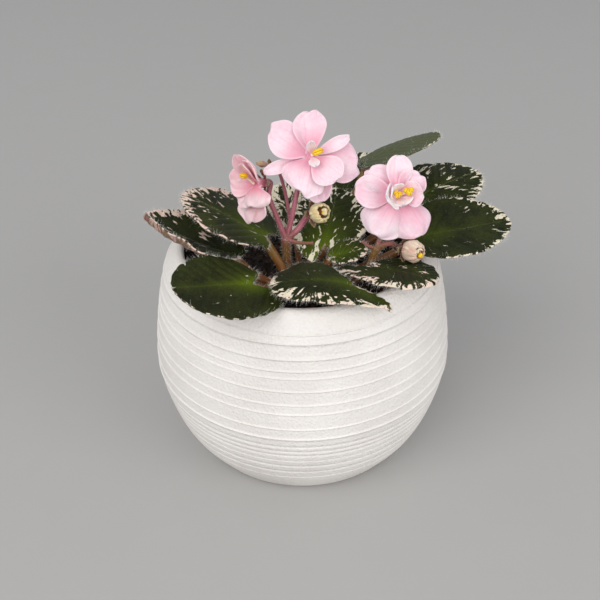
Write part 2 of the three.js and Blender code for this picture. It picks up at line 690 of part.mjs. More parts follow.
// Each pair of pollen sacs stands on a short filament that reaches back to the throat.
function antherSolid({ anthers }) {
  const base = new THREE.Vector3(0, 0, FILAMENT_START);
  const parts = anthers.flatMap((anther) => {
    const tip = new THREE.Vector3(...anther.at);
    const middle = base.clone().lerp(tip, 0.5);
    const radii = [FILAMENT_RADIUS, FILAMENT_RADIUS, FILAMENT_RADIUS];
    return [ellipsoid(anther), tube([base, middle, tip], radii, 2, STALK_SIDES)];
  });
  return join(parts);
}

function flower(name, plan) {
  const group = new THREE.Group();
  group.position.set(...plan.throat);
  group.rotation.copy(facing(plan));
  const petals = join([throatSolid(), ...plan.petals.map(petalSolid)]);
  group.add(piece(name + "_petals", petals, COLOURS[plan.colour], 0.6));
  group.add(piece(name + "_anthers", antherSolid(plan), COLOURS.anther, 0.5));
  return group;
}

// A bud is an egg with a furrow between each two folded petals and a dimple where they meet.
function budSolid({ radii, lobes, furrow }) {
  const geometry = new THREE.SphereGeometry(1, BUD_SIDES, BUD_RINGS);
  geometry.rotateX(Math.PI / 2);
  const position = geometry.getAttribute("position");
  const spot = new THREE.Vector3();
  for (let i = 0; i < position.count; i++) {
    spot.fromBufferAttribute(position, i);
    const round = Math.hypot(spot.x, spot.y);
    const angle = Math.atan2(spot.y, spot.x);
    const press = 1 + furrow * round * Math.cos(lobes * angle);
    const dimple = spot.z > 0 ? BUD_DIMPLE * Math.max(0, 1 - round / BUD_MOUTH) : 0;
    position.setXYZ(i, spot.x * press * radii[0], spot.y * press * radii[1], (spot.z - dimple) * radii[2]);
  }
  return solidOfGeometry(geometry);
}

function bud(name, plan) {
  const mesh = piece(name, budSolid(plan), COLOURS.bud, 0.6);
  mesh.position.set(...plan.centre);
  mesh.rotation.copy(facing(plan));
  return mesh;
}

const violet = new THREE.Group();
violet.add(piece("pot", potSolid(), COLOURS.pot, 0.6));
violet.add(piece("soil", soilSolid(), COLOURS.soil, 0.95));
violet.add(piece("crown", crownSolid(), COLOURS.crown, 0.8));
for (const [name, leaf] of Object.entries(LEAVES)) {
  const colour = leaf.young ? COLOURS.youngLeaf : COLOURS.leaf;
  violet.add(piece(name, leafSolid(leaf), colour, 0.6));
}
for (const [name, branches] of Object.entries(STALKS)) {
  violet.add(piece(name, join(branches.map(branchSolid)), COLOURS.stalk, 0.6));
}
for (const [name, plan] of Object.entries(FLOWERS)) violet.add(flower(name, plan));
for (const [name, plan] of Object.entries(BUDS)) violet.add(bud(name, plan));

export default violet;
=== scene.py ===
# %% [markdown]
# # A miniature African violet in a ringed white pot
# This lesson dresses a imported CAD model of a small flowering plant. The model is loaded as a fixed frame,
# and every leaf, flower, stalk and bud gets a finer piece in the same place. Lengths in the tables are
# millimetres, because a plant this small is easiest to think of that way.

# %% Load the frame
import math

import bpy
import numpy as np
from mathutils import Matrix, Vector


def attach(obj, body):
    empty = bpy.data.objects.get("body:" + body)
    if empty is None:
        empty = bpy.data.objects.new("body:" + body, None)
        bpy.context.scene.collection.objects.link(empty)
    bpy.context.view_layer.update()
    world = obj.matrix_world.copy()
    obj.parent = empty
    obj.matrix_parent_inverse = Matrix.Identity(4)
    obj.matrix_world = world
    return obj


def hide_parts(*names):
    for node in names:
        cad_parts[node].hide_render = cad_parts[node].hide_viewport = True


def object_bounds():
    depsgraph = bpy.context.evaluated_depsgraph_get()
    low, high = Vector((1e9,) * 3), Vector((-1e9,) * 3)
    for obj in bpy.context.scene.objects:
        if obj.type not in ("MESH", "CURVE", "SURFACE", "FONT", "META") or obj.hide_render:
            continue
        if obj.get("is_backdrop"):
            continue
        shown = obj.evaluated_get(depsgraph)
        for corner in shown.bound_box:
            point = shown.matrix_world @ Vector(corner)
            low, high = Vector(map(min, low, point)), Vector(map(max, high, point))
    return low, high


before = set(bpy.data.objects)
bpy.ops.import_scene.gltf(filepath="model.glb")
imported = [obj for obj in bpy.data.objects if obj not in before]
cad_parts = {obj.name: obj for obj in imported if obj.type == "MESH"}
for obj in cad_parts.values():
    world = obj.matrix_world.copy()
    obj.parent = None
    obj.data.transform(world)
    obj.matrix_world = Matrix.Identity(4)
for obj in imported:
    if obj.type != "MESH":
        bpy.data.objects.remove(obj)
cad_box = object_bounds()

MM = 0.001
BOX_LOW = np.array(cad_box[0]) / MM
BOX_HIGH = np.array(cad_box[1]) / MM
print("CAD box in mm:", (BOX_HIGH - BOX_LOW).round(1))

# %% [markdown]
# ## The camera
# The photograph looks down on the plant from about a third of a metre away. The angle was found from the
# ellipse of the pot's mouth, and the lens from how quickly things shrink towards the back.

# %% Camera
CAMERA_PLACE = (-0.64, -255.9, 223.6)
CAMERA_PITCH = 34.22
CAMERA_ROLL = -0.71
CAMERA_LENS = 57.0
CAMERA_SENSOR = 36.0
CAMERA_NEAR = 10

camera = bpy.data.objects.new("camera", bpy.data.cameras.new("camera"))
camera.data.lens = CAMERA_LENS
camera.data.sensor_width = CAMERA_SENSOR
camera.data.clip_start = CAMERA_NEAR * MM
tilt = Matrix.Rotation(math.radians(90 - CAMERA_PITCH), 4, "X")
roll = Matrix.Rotation(math.radians(CAMERA_ROLL), 4, "Z")
camera.matrix_world = Matrix.Translation(Vector(CAMERA_PLACE) * MM) @ tilt @ roll
bpy.context.collection.objects.link(camera)
bpy.context.scene.camera = camera
print("camera stands", round(camera.location.length / MM), "mm from the pot's foot")

# %% [markdown]
# ## Short ways to write node trees
# Node trees in code are long lists of new nodes and links. A few small helpers keep them readable: one makes
# a node and fills or links its inputs, one does arithmetic, one blends two colours, and one turns a value
# into a soft step between 0 and 1.


# %% Node helpers
SOCKETS = {"specular": "Specular IOR Level", "roughness": "Roughness", "sheen": "Sheen Weight",
           "scatter": "Subsurface Weight", "scatter_reach": "Subsurface Scale",
           "scatter_colour": "Subsurface Radius"}


def node(tree, kind, inputs=None, **settings):
    made = tree.nodes.new(kind)
    for name, value in settings.items():
        setattr(made, name, value)
    for socket, value in (inputs or {}).items():
        if isinstance(value, bpy.types.NodeSocket):
            tree.links.new(value, made.inputs[socket])
        else:
            made.inputs[socket].default_value = value
    return made


def calc(tree, operation, a, b):
    return node(tree, "ShaderNodeMath", {0: a, 1: b}, operation=operation).outputs[0]


def blend(tree, mask, a, b):
    first, second = (c if isinstance(c, bpy.types.NodeSocket) else (*c, 1.0) for c in (a, b))
    return node(tree, "ShaderNodeMix", {0: mask, 6: first, 7: second}, data_type="RGBA").outputs[2]


def soft_step(tree, value, low, high, start=0.0, end=1.0):
    inputs = {"Value": value, "From Min": low, "From Max": high, "To Min": start, "To Max": end}
    return node(tree, "ShaderNodeMapRange", inputs, interpolation_type="SMOOTHSTEP").outputs[0]


def value_of(tree, name):
    return node(tree, "ShaderNodeAttribute", attribute_name=name).outputs["Fac"]


def surface_place(tree):
    return node(tree, "ShaderNodeUVMap", uv_map="surface").outputs[0]


def object_place(tree):
    return node(tree, "ShaderNodeTexCoord").outputs["Object"]


def new_group(name, inputs, outputs):
    group = bpy.data.node_groups.new(name, "ShaderNodeTree")
    for label, kind, value in inputs:
        socket = group.interface.new_socket(label, in_out="INPUT", socket_type=kind)
        if value is not None:
            socket.default_value = value
    for label in outputs:
        group.interface.new_socket(label, in_out="OUTPUT", socket_type="NodeSocketFloat")
    return group, group.nodes.new("NodeGroupInput").outputs, group.nodes.new("NodeGroupOutput").inputs


def new_material(name, **settings):
    """A new material, its tree and its shader, whose plain inputs are set from the named settings."""
    material = bpy.data.materials.new(name)
    material.use_nodes = True
    shader = material.node_tree.nodes["Principled BSDF"]
    for key, value in settings.items():
        shader.inputs[SOCKETS[key]].default_value = value
    return material, material.node_tree, shader


# %% [markdown]
# ## Three effects that many finishes share
# Living tissue is never one flat colour. *Mottle* gives a slow drift with fine grain on top. *Cells* gives
# the tiny domes of a velvety or stippled surface. *Streaks* gives long narrow marks that run one way, which
# is how the cream of a variegated leaf and the veins of a petal lie. Each is one group, placed in every
# material that needs it with its own values.


# %% Mottle, cells and streaks
def mottle_group():
    inputs = [("Vector", "NodeSocketVector", None), ("Coarse", "NodeSocketFloat", 120.0),
              ("Fine", "NodeSocketFloat", 900.0), ("Fine Share", "NodeSocketFloat", 0.35)]
    group, given, result = new_group("mottle", inputs, ["Value"])
    vector = given["Vector"]
    coarse = node(group, "ShaderNodeTexNoise", {"Vector": vector, "Scale": given["Coarse"], "Detail": 3.0})
    fine = node(group, "ShaderNodeTexNoise", {"Vector": vector, "Scale": given["Fine"], "Detail": 2.0})
    parts = {0: given["Fine Share"], 2: coarse.outputs[0], 3: fine.outputs[0]}
    group.links.new(node(group, "ShaderNodeMix", parts).outputs[0], result["Value"])
    return group


def cells_group():
    inputs = [("Vector", "NodeSocketVector", None), ("Scale", "NodeSocketFloat", 1800.0),
              ("Roundness", "NodeSocketFloat", 0.6)]
    group, given, result = new_group("cells", inputs, ["Height"])
    cells = node(group, "ShaderNodeTexVoronoi", {"Vector": given["Vector"], "Scale": given["Scale"]})
    dome = soft_step(group, cells.outputs["Distance"], 0.0, given["Roundness"], 1.0, 0.0)
    group.links.new(dome, result["Height"])
    return group


def streaks_group():
    inputs = [("Vector", "NodeSocketVector", None), ("Across", "NodeSocketFloat", 1000.0),
              ("Along", "NodeSocketFloat", 200.0), ("Start", "NodeSocketFloat", 0.0)]
    group, given, result = new_group("streaks", inputs, ["Value"])
    scale = node(group, "ShaderNodeCombineXYZ", {0: given["Across"], 1: given["Along"], 2: 1.0})
    shift = node(group, "ShaderNodeCombineXYZ", {0: given["Start"], 1: given["Start"], 2: given["Start"]})
    moved = node(group, "ShaderNodeMapping", {"Vector": given["Vector"], "Scale": scale.outputs[0]})
    started = node(group, "ShaderNodeVectorMath", {
        0: moved.outputs[0], 1: shift.outputs[0]}, operation="ADD")
    noise = node(group, "ShaderNodeTexNoise", {
        "Vector": started.outputs[0], "Scale": 1.0, "Detail": 3.0, "Roughness": 0.55})
    group.links.new(noise.outputs[0], result["Value"])
    return group


MOTTLE, CELLS, STREAKS = mottle_group(), cells_group(), streaks_group()


def placed(tree, group, **inputs):
    named = {key.replace("_", " "): value for key, value in inputs.items()}
    return node(tree, "ShaderNodeGroup", named, node_tree=group).outputs[0]


def bumped(tree, shader, height, distance, strength=1.0):
    made = node(tree, "ShaderNodeBump", {"Height": height, "Distance": distance, "Strength": strength})
    tree.links.new(made.outputs[0], shader.inputs["Normal"])


print("effects:", [g.name for g in (MOTTLE, CELLS, STREAKS)])

# %% [markdown]
# ## Gathering a piece
# A leaf is a blade and a petiole, and a flower is a dozen petals. Each of these is a closed shell, and a
# piece is several shells in one mesh. The class below collects shells with their finish and their values
# for each point, and then makes the object. Values for each point, such as the distance to the leaf's edge,
# travel with the mesh as attributes, so a material can paint by them.


# %% The Form class
class Form:
    def __init__(self):
        self.points, self.faces, self.finishes, self.values, self.uvs = [], [], [], {}, []
        self.count = 0

    def add(self, points, faces, finish=0, uv=None, **values):
        size = len(points)
        self.points.append(points)
        self.faces += [tuple(i + self.count for i in face) for face in faces]
        self.finishes += [finish] * len(faces)
        self.uvs.append(uv if uv is not None else points[:, :2] * MM)
        for name, value in values.items():
            self.values.setdefault(name, []).append((self.count, np.broadcast_to(value, (size,))))
        self.count += size
        return self

    def piece(self, name, materials, nodes, slot):
        mesh = bpy.data.meshes.new(name)
        points = np.clip(np.concatenate(self.points), BOX_LOW, BOX_HIGH) * MM
        mesh.from_pydata(points.tolist(), [], self.faces)
        for material in materials:
            mesh.materials.append(material)
        mesh.polygons.foreach_set("material_index", self.finishes)
        for label, parts in self.values.items():
            whole = np.zeros(self.count, np.float32)
            for start, part in parts:
                whole[start:start + len(part)] = part
            mesh.attributes.new(label, "FLOAT", "POINT").data.foreach_set("value", whole)
        corners = np.zeros(len(mesh.loops), np.int32)
        mesh.loops.foreach_get("vertex_index", corners)
        spread = np.concatenate(self.uvs).astype(np.float32)[corners]
        mesh.uv_layers.new(name="surface").data.foreach_set("uv", spread.ravel())
        mesh.shade_smooth()
        made = bpy.data.objects.new(name, mesh)
        bpy.context.collection.objects.link(made)
        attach(made, "root")
        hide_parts(*nodes)
        return made


def smooth(x, low, high):
    t = np.clip((x - low) / (high - low), 0, 1)
    return t * t * (3 - 2 * t)


def triangles(made):
    return sum(len(face.vertices) - 2 for face in made.data.polygons)


# %% [markdown]
# ## Shapes that everything is made of
# Three shapes are enough for a whole plant. A *turned* shape goes round an axis, a *bar* follows a smooth
# path, and a *blade* is a thin curved sheet such as a leaf, a petal or a sepal. They could be modelled by
# hand, but the CAD model made them by rule, and the same rule here keeps every fine piece in its place.


# %% Turned shapes
def turned(profile, sides):
    """Closed shell round Z. The profile runs from the axis, round the outside, back to the axis."""
    profile = np.asarray(profile, float)
    angles = np.arange(sides) * 2 * math.pi / sides
    rings = profile[1:-1]
    x = rings[:, 0, None] * np.cos(angles)
    y = rings[:, 0, None] * np.sin(angles)
    z = np.repeat(rings[:, 1, None], sides, axis=1)
    points = np.concatenate([np.stack([x, y, z], -1).reshape(-1, 3),
                             [[0, 0, profile[0, 1]], [0, 0, profile[-1, 1]]]])
    first, last = len(points) - 2, len(points) - 1
    faces = []
    for k in range(sides):
        after = (k + 1) % sides
        for ring in range(len(rings) - 1):
            low, high = ring * sides, (ring + 1) * sides
            faces.append((low + k, low + after, high + after, high + k))
        faces.append((first, after, k))
        faces.append((last, (len(rings) - 1) * sides + k, (len(rings) - 1) * sides + after))
    return points, faces


# %% A smooth path
def smooth_path(points, t):
    """Centripetal Catmull-Rom curve through points, at t from 0 to 1."""
    points = np.asarray(points, float)
    last = len(points) - 1
    made = []
    for place in np.atleast_1d(t) * last:
        i = min(int(place), last - 1)
        w = place - i
        b, c = points[i], points[i + 1]
        a = points[i - 1] if i > 0 else 2 * b - c
        d = points[i + 2] if i + 2 <= last else 2 * c - b
        da, db, dc = (max(np.sum((q - p) ** 2), 1e-9) ** 0.25 for p, q in ((a, b), (b, c), (c, d)))
        m0 = ((b - a) / da - (c - a) / (da + db) + (c - b) / db) * db
        m1 = ((c - b) / db - (d - b) / (db + dc) + (d - c) / dc) * db
        made.append(b + m0 * w + (3 * c - 3 * b - 2 * m0 - m1) * w ** 2 + (2 * b - 2 * c + m0 + m1) * w ** 3)
    return np.array(made)


# %% Bars along a path
# The sizes of a rounded end are shares of the bar's radius there.
END_RING_SIZE = 0.6
END_RING_OUT = 0.35
END_POLE_OUT = 0.5
FIRST_SIDE = (0.3, 0.2, 0.9)


def bar(points, radii, steps, sides):
    """Round bar with rounded ends. Gives its points, its faces and how far along each point is."""
    t = np.linspace(0, 1, steps + 1)
    centres = smooth_path(points, t)
    radius = np.interp(t * (len(radii) - 1), range(len(radii)), radii)
    heading = np.gradient(centres, axis=0)
    heading /= np.linalg.norm(heading, axis=1)[:, None]
    side = np.cross(heading[0], FIRST_SIDE)
    rows = []
    angles = np.arange(sides) * 2 * math.pi / sides
    for centre, way, r in zip(centres, heading, radius):
        side = side - way * (side @ way)
        side = side / np.linalg.norm(side)
        other = np.cross(way, side)
        rows.append(centre + r * (np.cos(angles)[:, None] * side + np.sin(angles)[:, None] * other))
    for end, way, r, at in ((0, -heading[0], radius[0], 0), (-1, heading[-1], radius[-1], len(rows) + 1)):
        middle = centres[end]
        rows.insert(at, middle + (rows[end] - middle) * END_RING_SIZE + way * r * END_RING_OUT)
    poles = [centres[0] - heading[0] * radius[0] * END_POLE_OUT,
             centres[-1] + heading[-1] * radius[-1] * END_POLE_OUT]
    whole = np.concatenate([np.concatenate(rows), poles])
    faces = []
    count = len(rows)
    for i in range(count - 1):
        for k in range(sides):
            after = (k + 1) % sides
            faces.append((i * sides + k, i * sides + after, (i + 1) * sides + after, (i + 1) * sides + k))
    for k in range(sides):
        after = (k + 1) % sides
        faces.append((count * sides, after, k))
        faces.append((count * sides + 1, (count - 1) * sides + k, (count - 1) * sides + after))
    along = np.concatenate([np.repeat(np.concatenate([[0], t, [1]]), sides), [0, 1]])
    return whole, faces, along


# %% [markdown]
# A blade follows the CAD model's own rule. u runs from 0 at its base to 1 at its tip and v from -1 at its
# right edge to 1 at its left edge. The rule gives the outline first, then lays the two base lobes back, and
# at last bends the flat sheet down along its arch and up along its cup.


# %% Outline and bend of a blade
def half_width(u, form):
    shift = math.log(0.5) / math.log(form["widest"])
    swell = np.maximum(0, np.sin(math.pi * u ** shift)) ** form["fullness"]
    return form["width"] / 2 * np.maximum(swell, form["neck"] * (1 - u) ** 2) + form["tip"] * u


def blade_grid(rows, columns):
    t = np.linspace(0, 1, rows + 1)
    u = 0.5 * t + 0.25 * (1 - np.cos(math.pi * t))
    return np.meshgrid(u, np.linspace(-1, 1, columns + 1), indexing="ij")


def blade_lie(u, v, form):
    """How far along and across each place of a flat blade lies, in mm, and half the blade's width there."""
    half = half_width(u, form) * (1 + form.get("skew", 0) * np.sign(v))
    left, right = form.get("lobes", (0, 0))
    swing = 1 - (1 - v ** 2) ** form.get("rounding", 1)
    reach = form["length"] * u - np.where(v < 0, right, left) * (1 - u) ** 3 * swing
    across = half * v + form.get("bend", 0) * (np.maximum(reach, 0) / form["length"]) ** 2
    return reach, across, half


def blade_curl(reach, across, lift, form):
    """Bends a flat blade down by its arch. lift is how far each place stands above the midrib's surface."""
    curl = math.radians(form["arch"]) / form["length"]
    angle = curl * reach
    if abs(curl) < 1e-6:
        return np.stack([reach, across, lift], -1)
    x = np.sin(angle) / curl + lift * np.sin(angle)
    z = (np.cos(angle) - 1) / curl + lift * np.cos(angle)
    return np.stack([x, across, z], -1)


def cup_lift(v, half, form):
    left, right = form["cup"]
    return np.where(v < 0, right, left) * v ** 2 * half / (form["width"] / 2)


def turn(axis, degrees):
    return np.array(Matrix.Rotation(math.radians(degrees), 3, Vector(axis)))


def blade_turn(heading, pitch, roll):
    return turn((0, 0, 1), heading) @ turn((0, -1, 0), pitch) @ turn((1, 0, 0), roll)


# %% Shell round a blade
RIM_ROUNDNESS = 0.55
TINY = 1e-9


def blade_shell(middle, above, below):
    """Closed shell round a middle surface with a rounded rim. Also gives each point's place in the grid
    and its side: 1 above, 0 below, 0.5 on the rim."""
    rows, columns = middle.shape[0] - 1, middle.shape[1] - 1
    along = np.gradient(middle, axis=0)
    across = np.gradient(middle, axis=1)
    normal = np.cross(along, across)
    normal /= np.maximum(np.linalg.norm(normal, axis=-1), TINY)[..., None]
    upper = middle + normal * above[..., None]
    lower = middle - normal * below[..., None]
    number = np.arange((rows + 1) * (columns + 1)).reshape(rows + 1, columns + 1)
    loop = np.concatenate([number[:-1, 0], number[-1, :-1], number[:0:-1, -1], number[0, :0:-1]])
    row, column = loop // (columns + 1), loop % (columns + 1)
    inner = middle[np.clip(row, 1, rows - 1), np.clip(column, 1, columns - 1)]
    edge = (upper[row, column] + lower[row, column]) / 2
    out = edge - inner
    out /= np.maximum(np.linalg.norm(out, axis=-1), TINY)[:, None]
    rim = edge + out * (RIM_ROUNDNESS * (above + below)[row, column])[:, None] / 2
    size = (rows + 1) * (columns + 1)
    a, b, c, d = number[:-1, :-1], number[1:, :-1], number[1:, 1:], number[:-1, 1:]
    quads = np.stack([a, b, c, d], -1).reshape(-1, 4)
    faces = quads.tolist() + (quads[:, ::-1] + size).tolist()
    here = np.arange(len(loop))
    after = (here + 1) % len(loop)
    rims = 2 * size
    faces += np.stack([loop, rims + here, rims + after, loop[after]], -1).tolist()
    faces += np.stack([rims + here, size + loop, size + loop[after], rims + after], -1).tolist()
    points = np.concatenate([upper.reshape(-1, 3), lower.reshape(-1, 3), rim])
    source = np.concatenate([np.arange(size), np.arange(size), loop])
    side = np.concatenate([np.ones(size), np.zeros(size), np.full(len(loop), 0.5)])
    return points, faces, source, side


print("shapes ready: turned, bar, blade")

# %% [markdown]
# ## The pot
# The real pot looks like ceramic with a white satin coat that is faintly grainy. Thin raised rings run
# round its upper part, and fine shallow grooves run below them. It could be a Spin or a Screw modifier on a
# drawn line. Here the line is computed, because each ring has its own height and has to be crisp but
# rounded, with several points across it.

# %% Pot outline
POT_HEIGHT = 72.2
POT_RIM_RADIUS = 38.5
POT_WALL = 2.0
POT_FLOOR = (35.2, 3.0)
POT_FOOT = [(0, 0.25), (26, 0.25), (29, 0.0), (33.4, 0.0), (34.7, 0.35)]
POT_OUTLINE = [(1.2, 35.7), (9.3, 41.2), (18.7, 45.0), (31.4, 47.7), (46.6, 46.7), (60.6, 44.3),
               (66.5, 42.6), (70.6, 40.4)]
LIP_OUTLINE = [(1.45, -1.6), (1.05, -1.0), (0.6, -0.5), (0, -0.15), (-0.5, 0), (-1.0, 0), (-1.5, -0.22),
               (-1.8, -0.6), (-1.88, -1.2)]
INSIDE_HEIGHTS = (68.5, 66, 64.5, 60, 54, 46, 38, 30, 22, 15, 9)
WALL_LOW, WALL_HIGH, WALL_STEP = 1.2, 69.4, 1.1
RING_HEIGHTS = [32.1, 36.0, 41.3, 44.5, 49.1, 53.3, 55.7, 59.3, 64.0, 66.5]
RING_RISE = 0.34
RING_HALF_WIDTH = 0.33
RING_POINTS = 7
GROOVE_HEIGHTS = [28.6, 26.4, 24.4, 21.6, 18.6, 15.2, 11.6]
GROOVE_DEPTH = 0.24
GROOVE_HALF_WIDTH = 0.45
GROOVE_POINTS = 5
POT_SIDES = 192


def outline_radius(height):
    z, r = np.array(POT_OUTLINE).T
    i = int(np.clip(np.searchsorted(z, height, side="right") - 1, 0, len(z) - 2))

    def slope(k):
        low, high = max(k - 1, 0), min(k + 1, len(z) - 1)
        return (r[high] - r[low]) / (z[high] - z[low])

    span = z[i + 1] - z[i]
    t = (height - z[i]) / span
    return ((2 * t ** 3 - 3 * t ** 2 + 1) * r[i] + (t ** 3 - 2 * t ** 2 + t) * span * slope(i)
            + (3 * t ** 2 - 2 * t ** 3) * r[i + 1] + (t ** 3 - t ** 2) * span * slope(i + 1))


def wall_radius(height):
    radius = outline_radius(height)
    for ring in RING_HEIGHTS:
        radius += RING_RISE * max(0.0, 1 - ((height - ring) / RING_HALF_WIDTH) ** 2)
    for groove in GROOVE_HEIGHTS:
        radius -= GROOVE_DEPTH * max(0.0, 1 - ((height - groove) / GROOVE_HALF_WIDTH) ** 2)
    return radius


def inner_radius(height):
    return outline_radius(height) - POT_WALL


heights = set(np.arange(WALL_LOW, WALL_HIGH, WALL_STEP).round(3))
for ring in RING_HEIGHTS:
    heights |= set((ring + RING_HALF_WIDTH * np.linspace(-1, 1, RING_POINTS)).round(3))
for groove in GROOVE_HEIGHTS:
    heights |= set((groove + GROOVE_HALF_WIDTH * np.linspace(-1, 1, GROOVE_POINTS)).round(3))
wall = [(wall_radius(z), z) for z in sorted(heights)]
lip = [(POT_RIM_RADIUS + out, POT_HEIGHT + up) for out, up in LIP_OUTLINE]
inside = [(inner_radius(z), z) for z in INSIDE_HEIGHTS]
pot_line = POT_FOOT + wall + lip + inside + [POT_FLOOR, (0, POT_FLOOR[1])]
print("pot outline:", len(pot_line), "points,", len(RING_HEIGHTS), "rings,", len(GROOVE_HEIGHTS), "grooves")

# %% [markdown]
# The coat is satin and warm white, and its tone drifts a little. Fine grains break its shine. The grain is
# bump from the *cells* and *mottle* groups, because it is too fine to be modelled, while rings and grooves
# are real shape.


# %% Pot finish
COAT_SHADES = (0.78, 0.745, 0.71), (0.85, 0.82, 0.785)


def pot_material():
    material, tree, shader = new_material("pot_coat", specular=0.4)
    place = object_place(tree)
    drift = placed(tree, MOTTLE, Vector=place, Coarse=45.0, Fine=1400.0, Fine_Share=0.3)
    colour = blend(tree, soft_step(tree, drift, 0.35, 0.65), *COAT_SHADES)
    tree.links.new(colour, shader.inputs["Base Color"])
    tree.links.new(soft_step(tree, drift, 0.3, 0.7, 0.5, 0.66), shader.inputs["Roughness"])
    grain = placed(tree, CELLS, Vector=place, Scale=1000.0, Roundness=0.7)
    rough = placed(tree, MOTTLE, Vector=place, Coarse=900.0, Fine=2200.0, Fine_Share=0.4)
    bumped(tree, shader, calc(tree, "ADD", calc(tree, "MULTIPLY", grain, 0.4), rough), 0.00030, 0.8)
    return material


pot = Form().add(*turned(pot_line, POT_SIDES)).piece("pot_with_rings", [pot_material()], ["pot"], "pot")
print("pot:", triangles(pot), "triangles")

# %% [markdown]
# ## Geometry Nodes for what repeats
# Hairs on a leaf and crumbs in the soil repeat by the thousand, and each follows a surface. That is a job
# for Geometry Nodes. Two small trees are built here with named inputs and a fixed seed. Both scatter points
# on faces, put a tiny solid on each, and realize the result, so that it becomes ordinary mesh.


# %% Helpers for geometry trees
def new_tree(name, inputs):
    tree = bpy.data.node_groups.new(name, "GeometryNodeTree")
    for label, kind, value in inputs:
        socket = tree.interface.new_socket(label, in_out="INPUT", socket_type="NodeSocket" + kind)
        if value is not None:
            socket.default_value = value
    tree.interface.new_socket("Geometry", in_out="OUTPUT", socket_type="NodeSocketGeometry")
    return tree, tree.nodes.new("NodeGroupInput").outputs, tree.nodes.new("NodeGroupOutput").inputs


def grown(made, tree, **settings):
    """Runs a geometry tree on a piece, with its inputs set by identifier, and keeps the plain mesh."""
    named = {key.replace("_", " "): value for key, value in settings.items()}
    modifier = made.modifiers.new(tree.name, "NODES")
    modifier.node_group = tree
    for item in tree.interface.items_tree:
        if item.in_out == "INPUT" and item.name in named:
            modifier[item.identifier] = named[item.name]
    bpy.context.view_layer.update()
    view = bpy.context.evaluated_depsgraph_get()
    mesh = bpy.data.meshes.new_from_object(
        made.evaluated_get(view), preserve_all_data_layers=True, depsgraph=view)
    bare = made.data
    made.modifiers.clear()
    made.data = mesh
    bpy.data.meshes.remove(bare)
    mesh.name = made.name
    return made


def carried(tree, name, kind="FLOAT"):
    return node(tree, "GeometryNodeInputNamedAttribute", {"Name": name}, data_type=kind).outputs[0]


def scattered(tree, given, amount_name):
    """Points spread over the piece, as many as the value that the mesh carries asks for."""
    density = calc(tree, "MULTIPLY", given["Density"], carried(tree, amount_name))
    return node(tree, "GeometryNodeDistributePointsOnFaces",
                {"Mesh": given["Geometry"], "Density": density, "Seed": given["Seed"]})


def random_vector(tree, given, least, most):
    return node(tree, "FunctionNodeRandomValue", {0: least, 1: most, "Seed": given["Seed"]},
                data_type="FLOAT_VECTOR").outputs[0]


# %% Tree of fine hairs
# In radians, just under half a turn.
HALF_TURN = 3.0
HAIR_GROWTH = (0.45, 1.2)


def lying_hairs(tree, given, scatter):
    """Turn of each hair: it leans a little to any side and spins about itself."""
    low = calc(tree, "MULTIPLY", given["Lean"], -1.0)
    least = node(tree, "ShaderNodeCombineXYZ", {0: low, 1: low, 2: -HALF_TURN}).outputs[0]
    most = node(tree, "ShaderNodeCombineXYZ", {0: given["Lean"], 1: given["Lean"], 2: HALF_TURN}).outputs[0]
    bend = random_vector(tree, given, least, most)
    turned_by = node(tree, "FunctionNodeEulerToRotation", {0: bend}).outputs[0]
    return node(tree, "FunctionNodeRotateRotation", {0: scatter.outputs["Rotation"], 1: turned_by},
                rotation_space="LOCAL").outputs[0]


def hairs_tree():
    tree, given, result = new_tree("fine_hairs", [
        ("Geometry", "Geometry", None), ("Density", "Float", 1.0e6), ("Length", "Float", 0.001),
        ("Thickness", "Float", 0.00005), ("Lean", "Float", 0.5), ("Seed", "Int", 1),
        ("Hair", "Material", None)])
    scatter = scattered(tree, given, "hairy")
    spike = node(tree, "GeometryNodeMeshCone", {
        "Vertices": 3, "Radius Bottom": given["Thickness"], "Depth": given["Length"]}, fill_type="NGON")
    marked = node(tree, "GeometryNodeStoreNamedAttribute", {
        "Geometry": spike.outputs[0], "Name": "is_hair", "Value": True}, data_type="BOOLEAN", domain="FACE")
    lying = lying_hairs(tree, given, scatter)
    growth = {2: HAIR_GROWTH[0], 3: HAIR_GROWTH[1], "Seed": given["Seed"]}
    grow = node(tree, "FunctionNodeRandomValue", growth, data_type="FLOAT")
    size = node(tree, "ShaderNodeCombineXYZ", {0: 1.0, 1: 1.0, 2: grow.outputs[1]}).outputs[0]
    many = node(tree, "GeometryNodeInstanceOnPoints", {
        "Points": scatter.outputs[0], "Instance": marked.outputs[0], "Rotation": lying, "Scale": size})
    both = node(tree, "GeometryNodeJoinGeometry")
    for part in (many.outputs[0], given["Geometry"]):
        tree.links.new(part, both.inputs[0])
    real = node(tree, "GeometryNodeRealizeInstances", {0: both.outputs[0]})
    painted = node(tree, "GeometryNodeSetMaterial", {
        "Geometry": real.outputs[0], "Selection": carried(tree, "is_hair", "BOOLEAN"),
        "Material": given["Hair"]})
    tree.links.new(painted.outputs[0], result[0])
    return tree


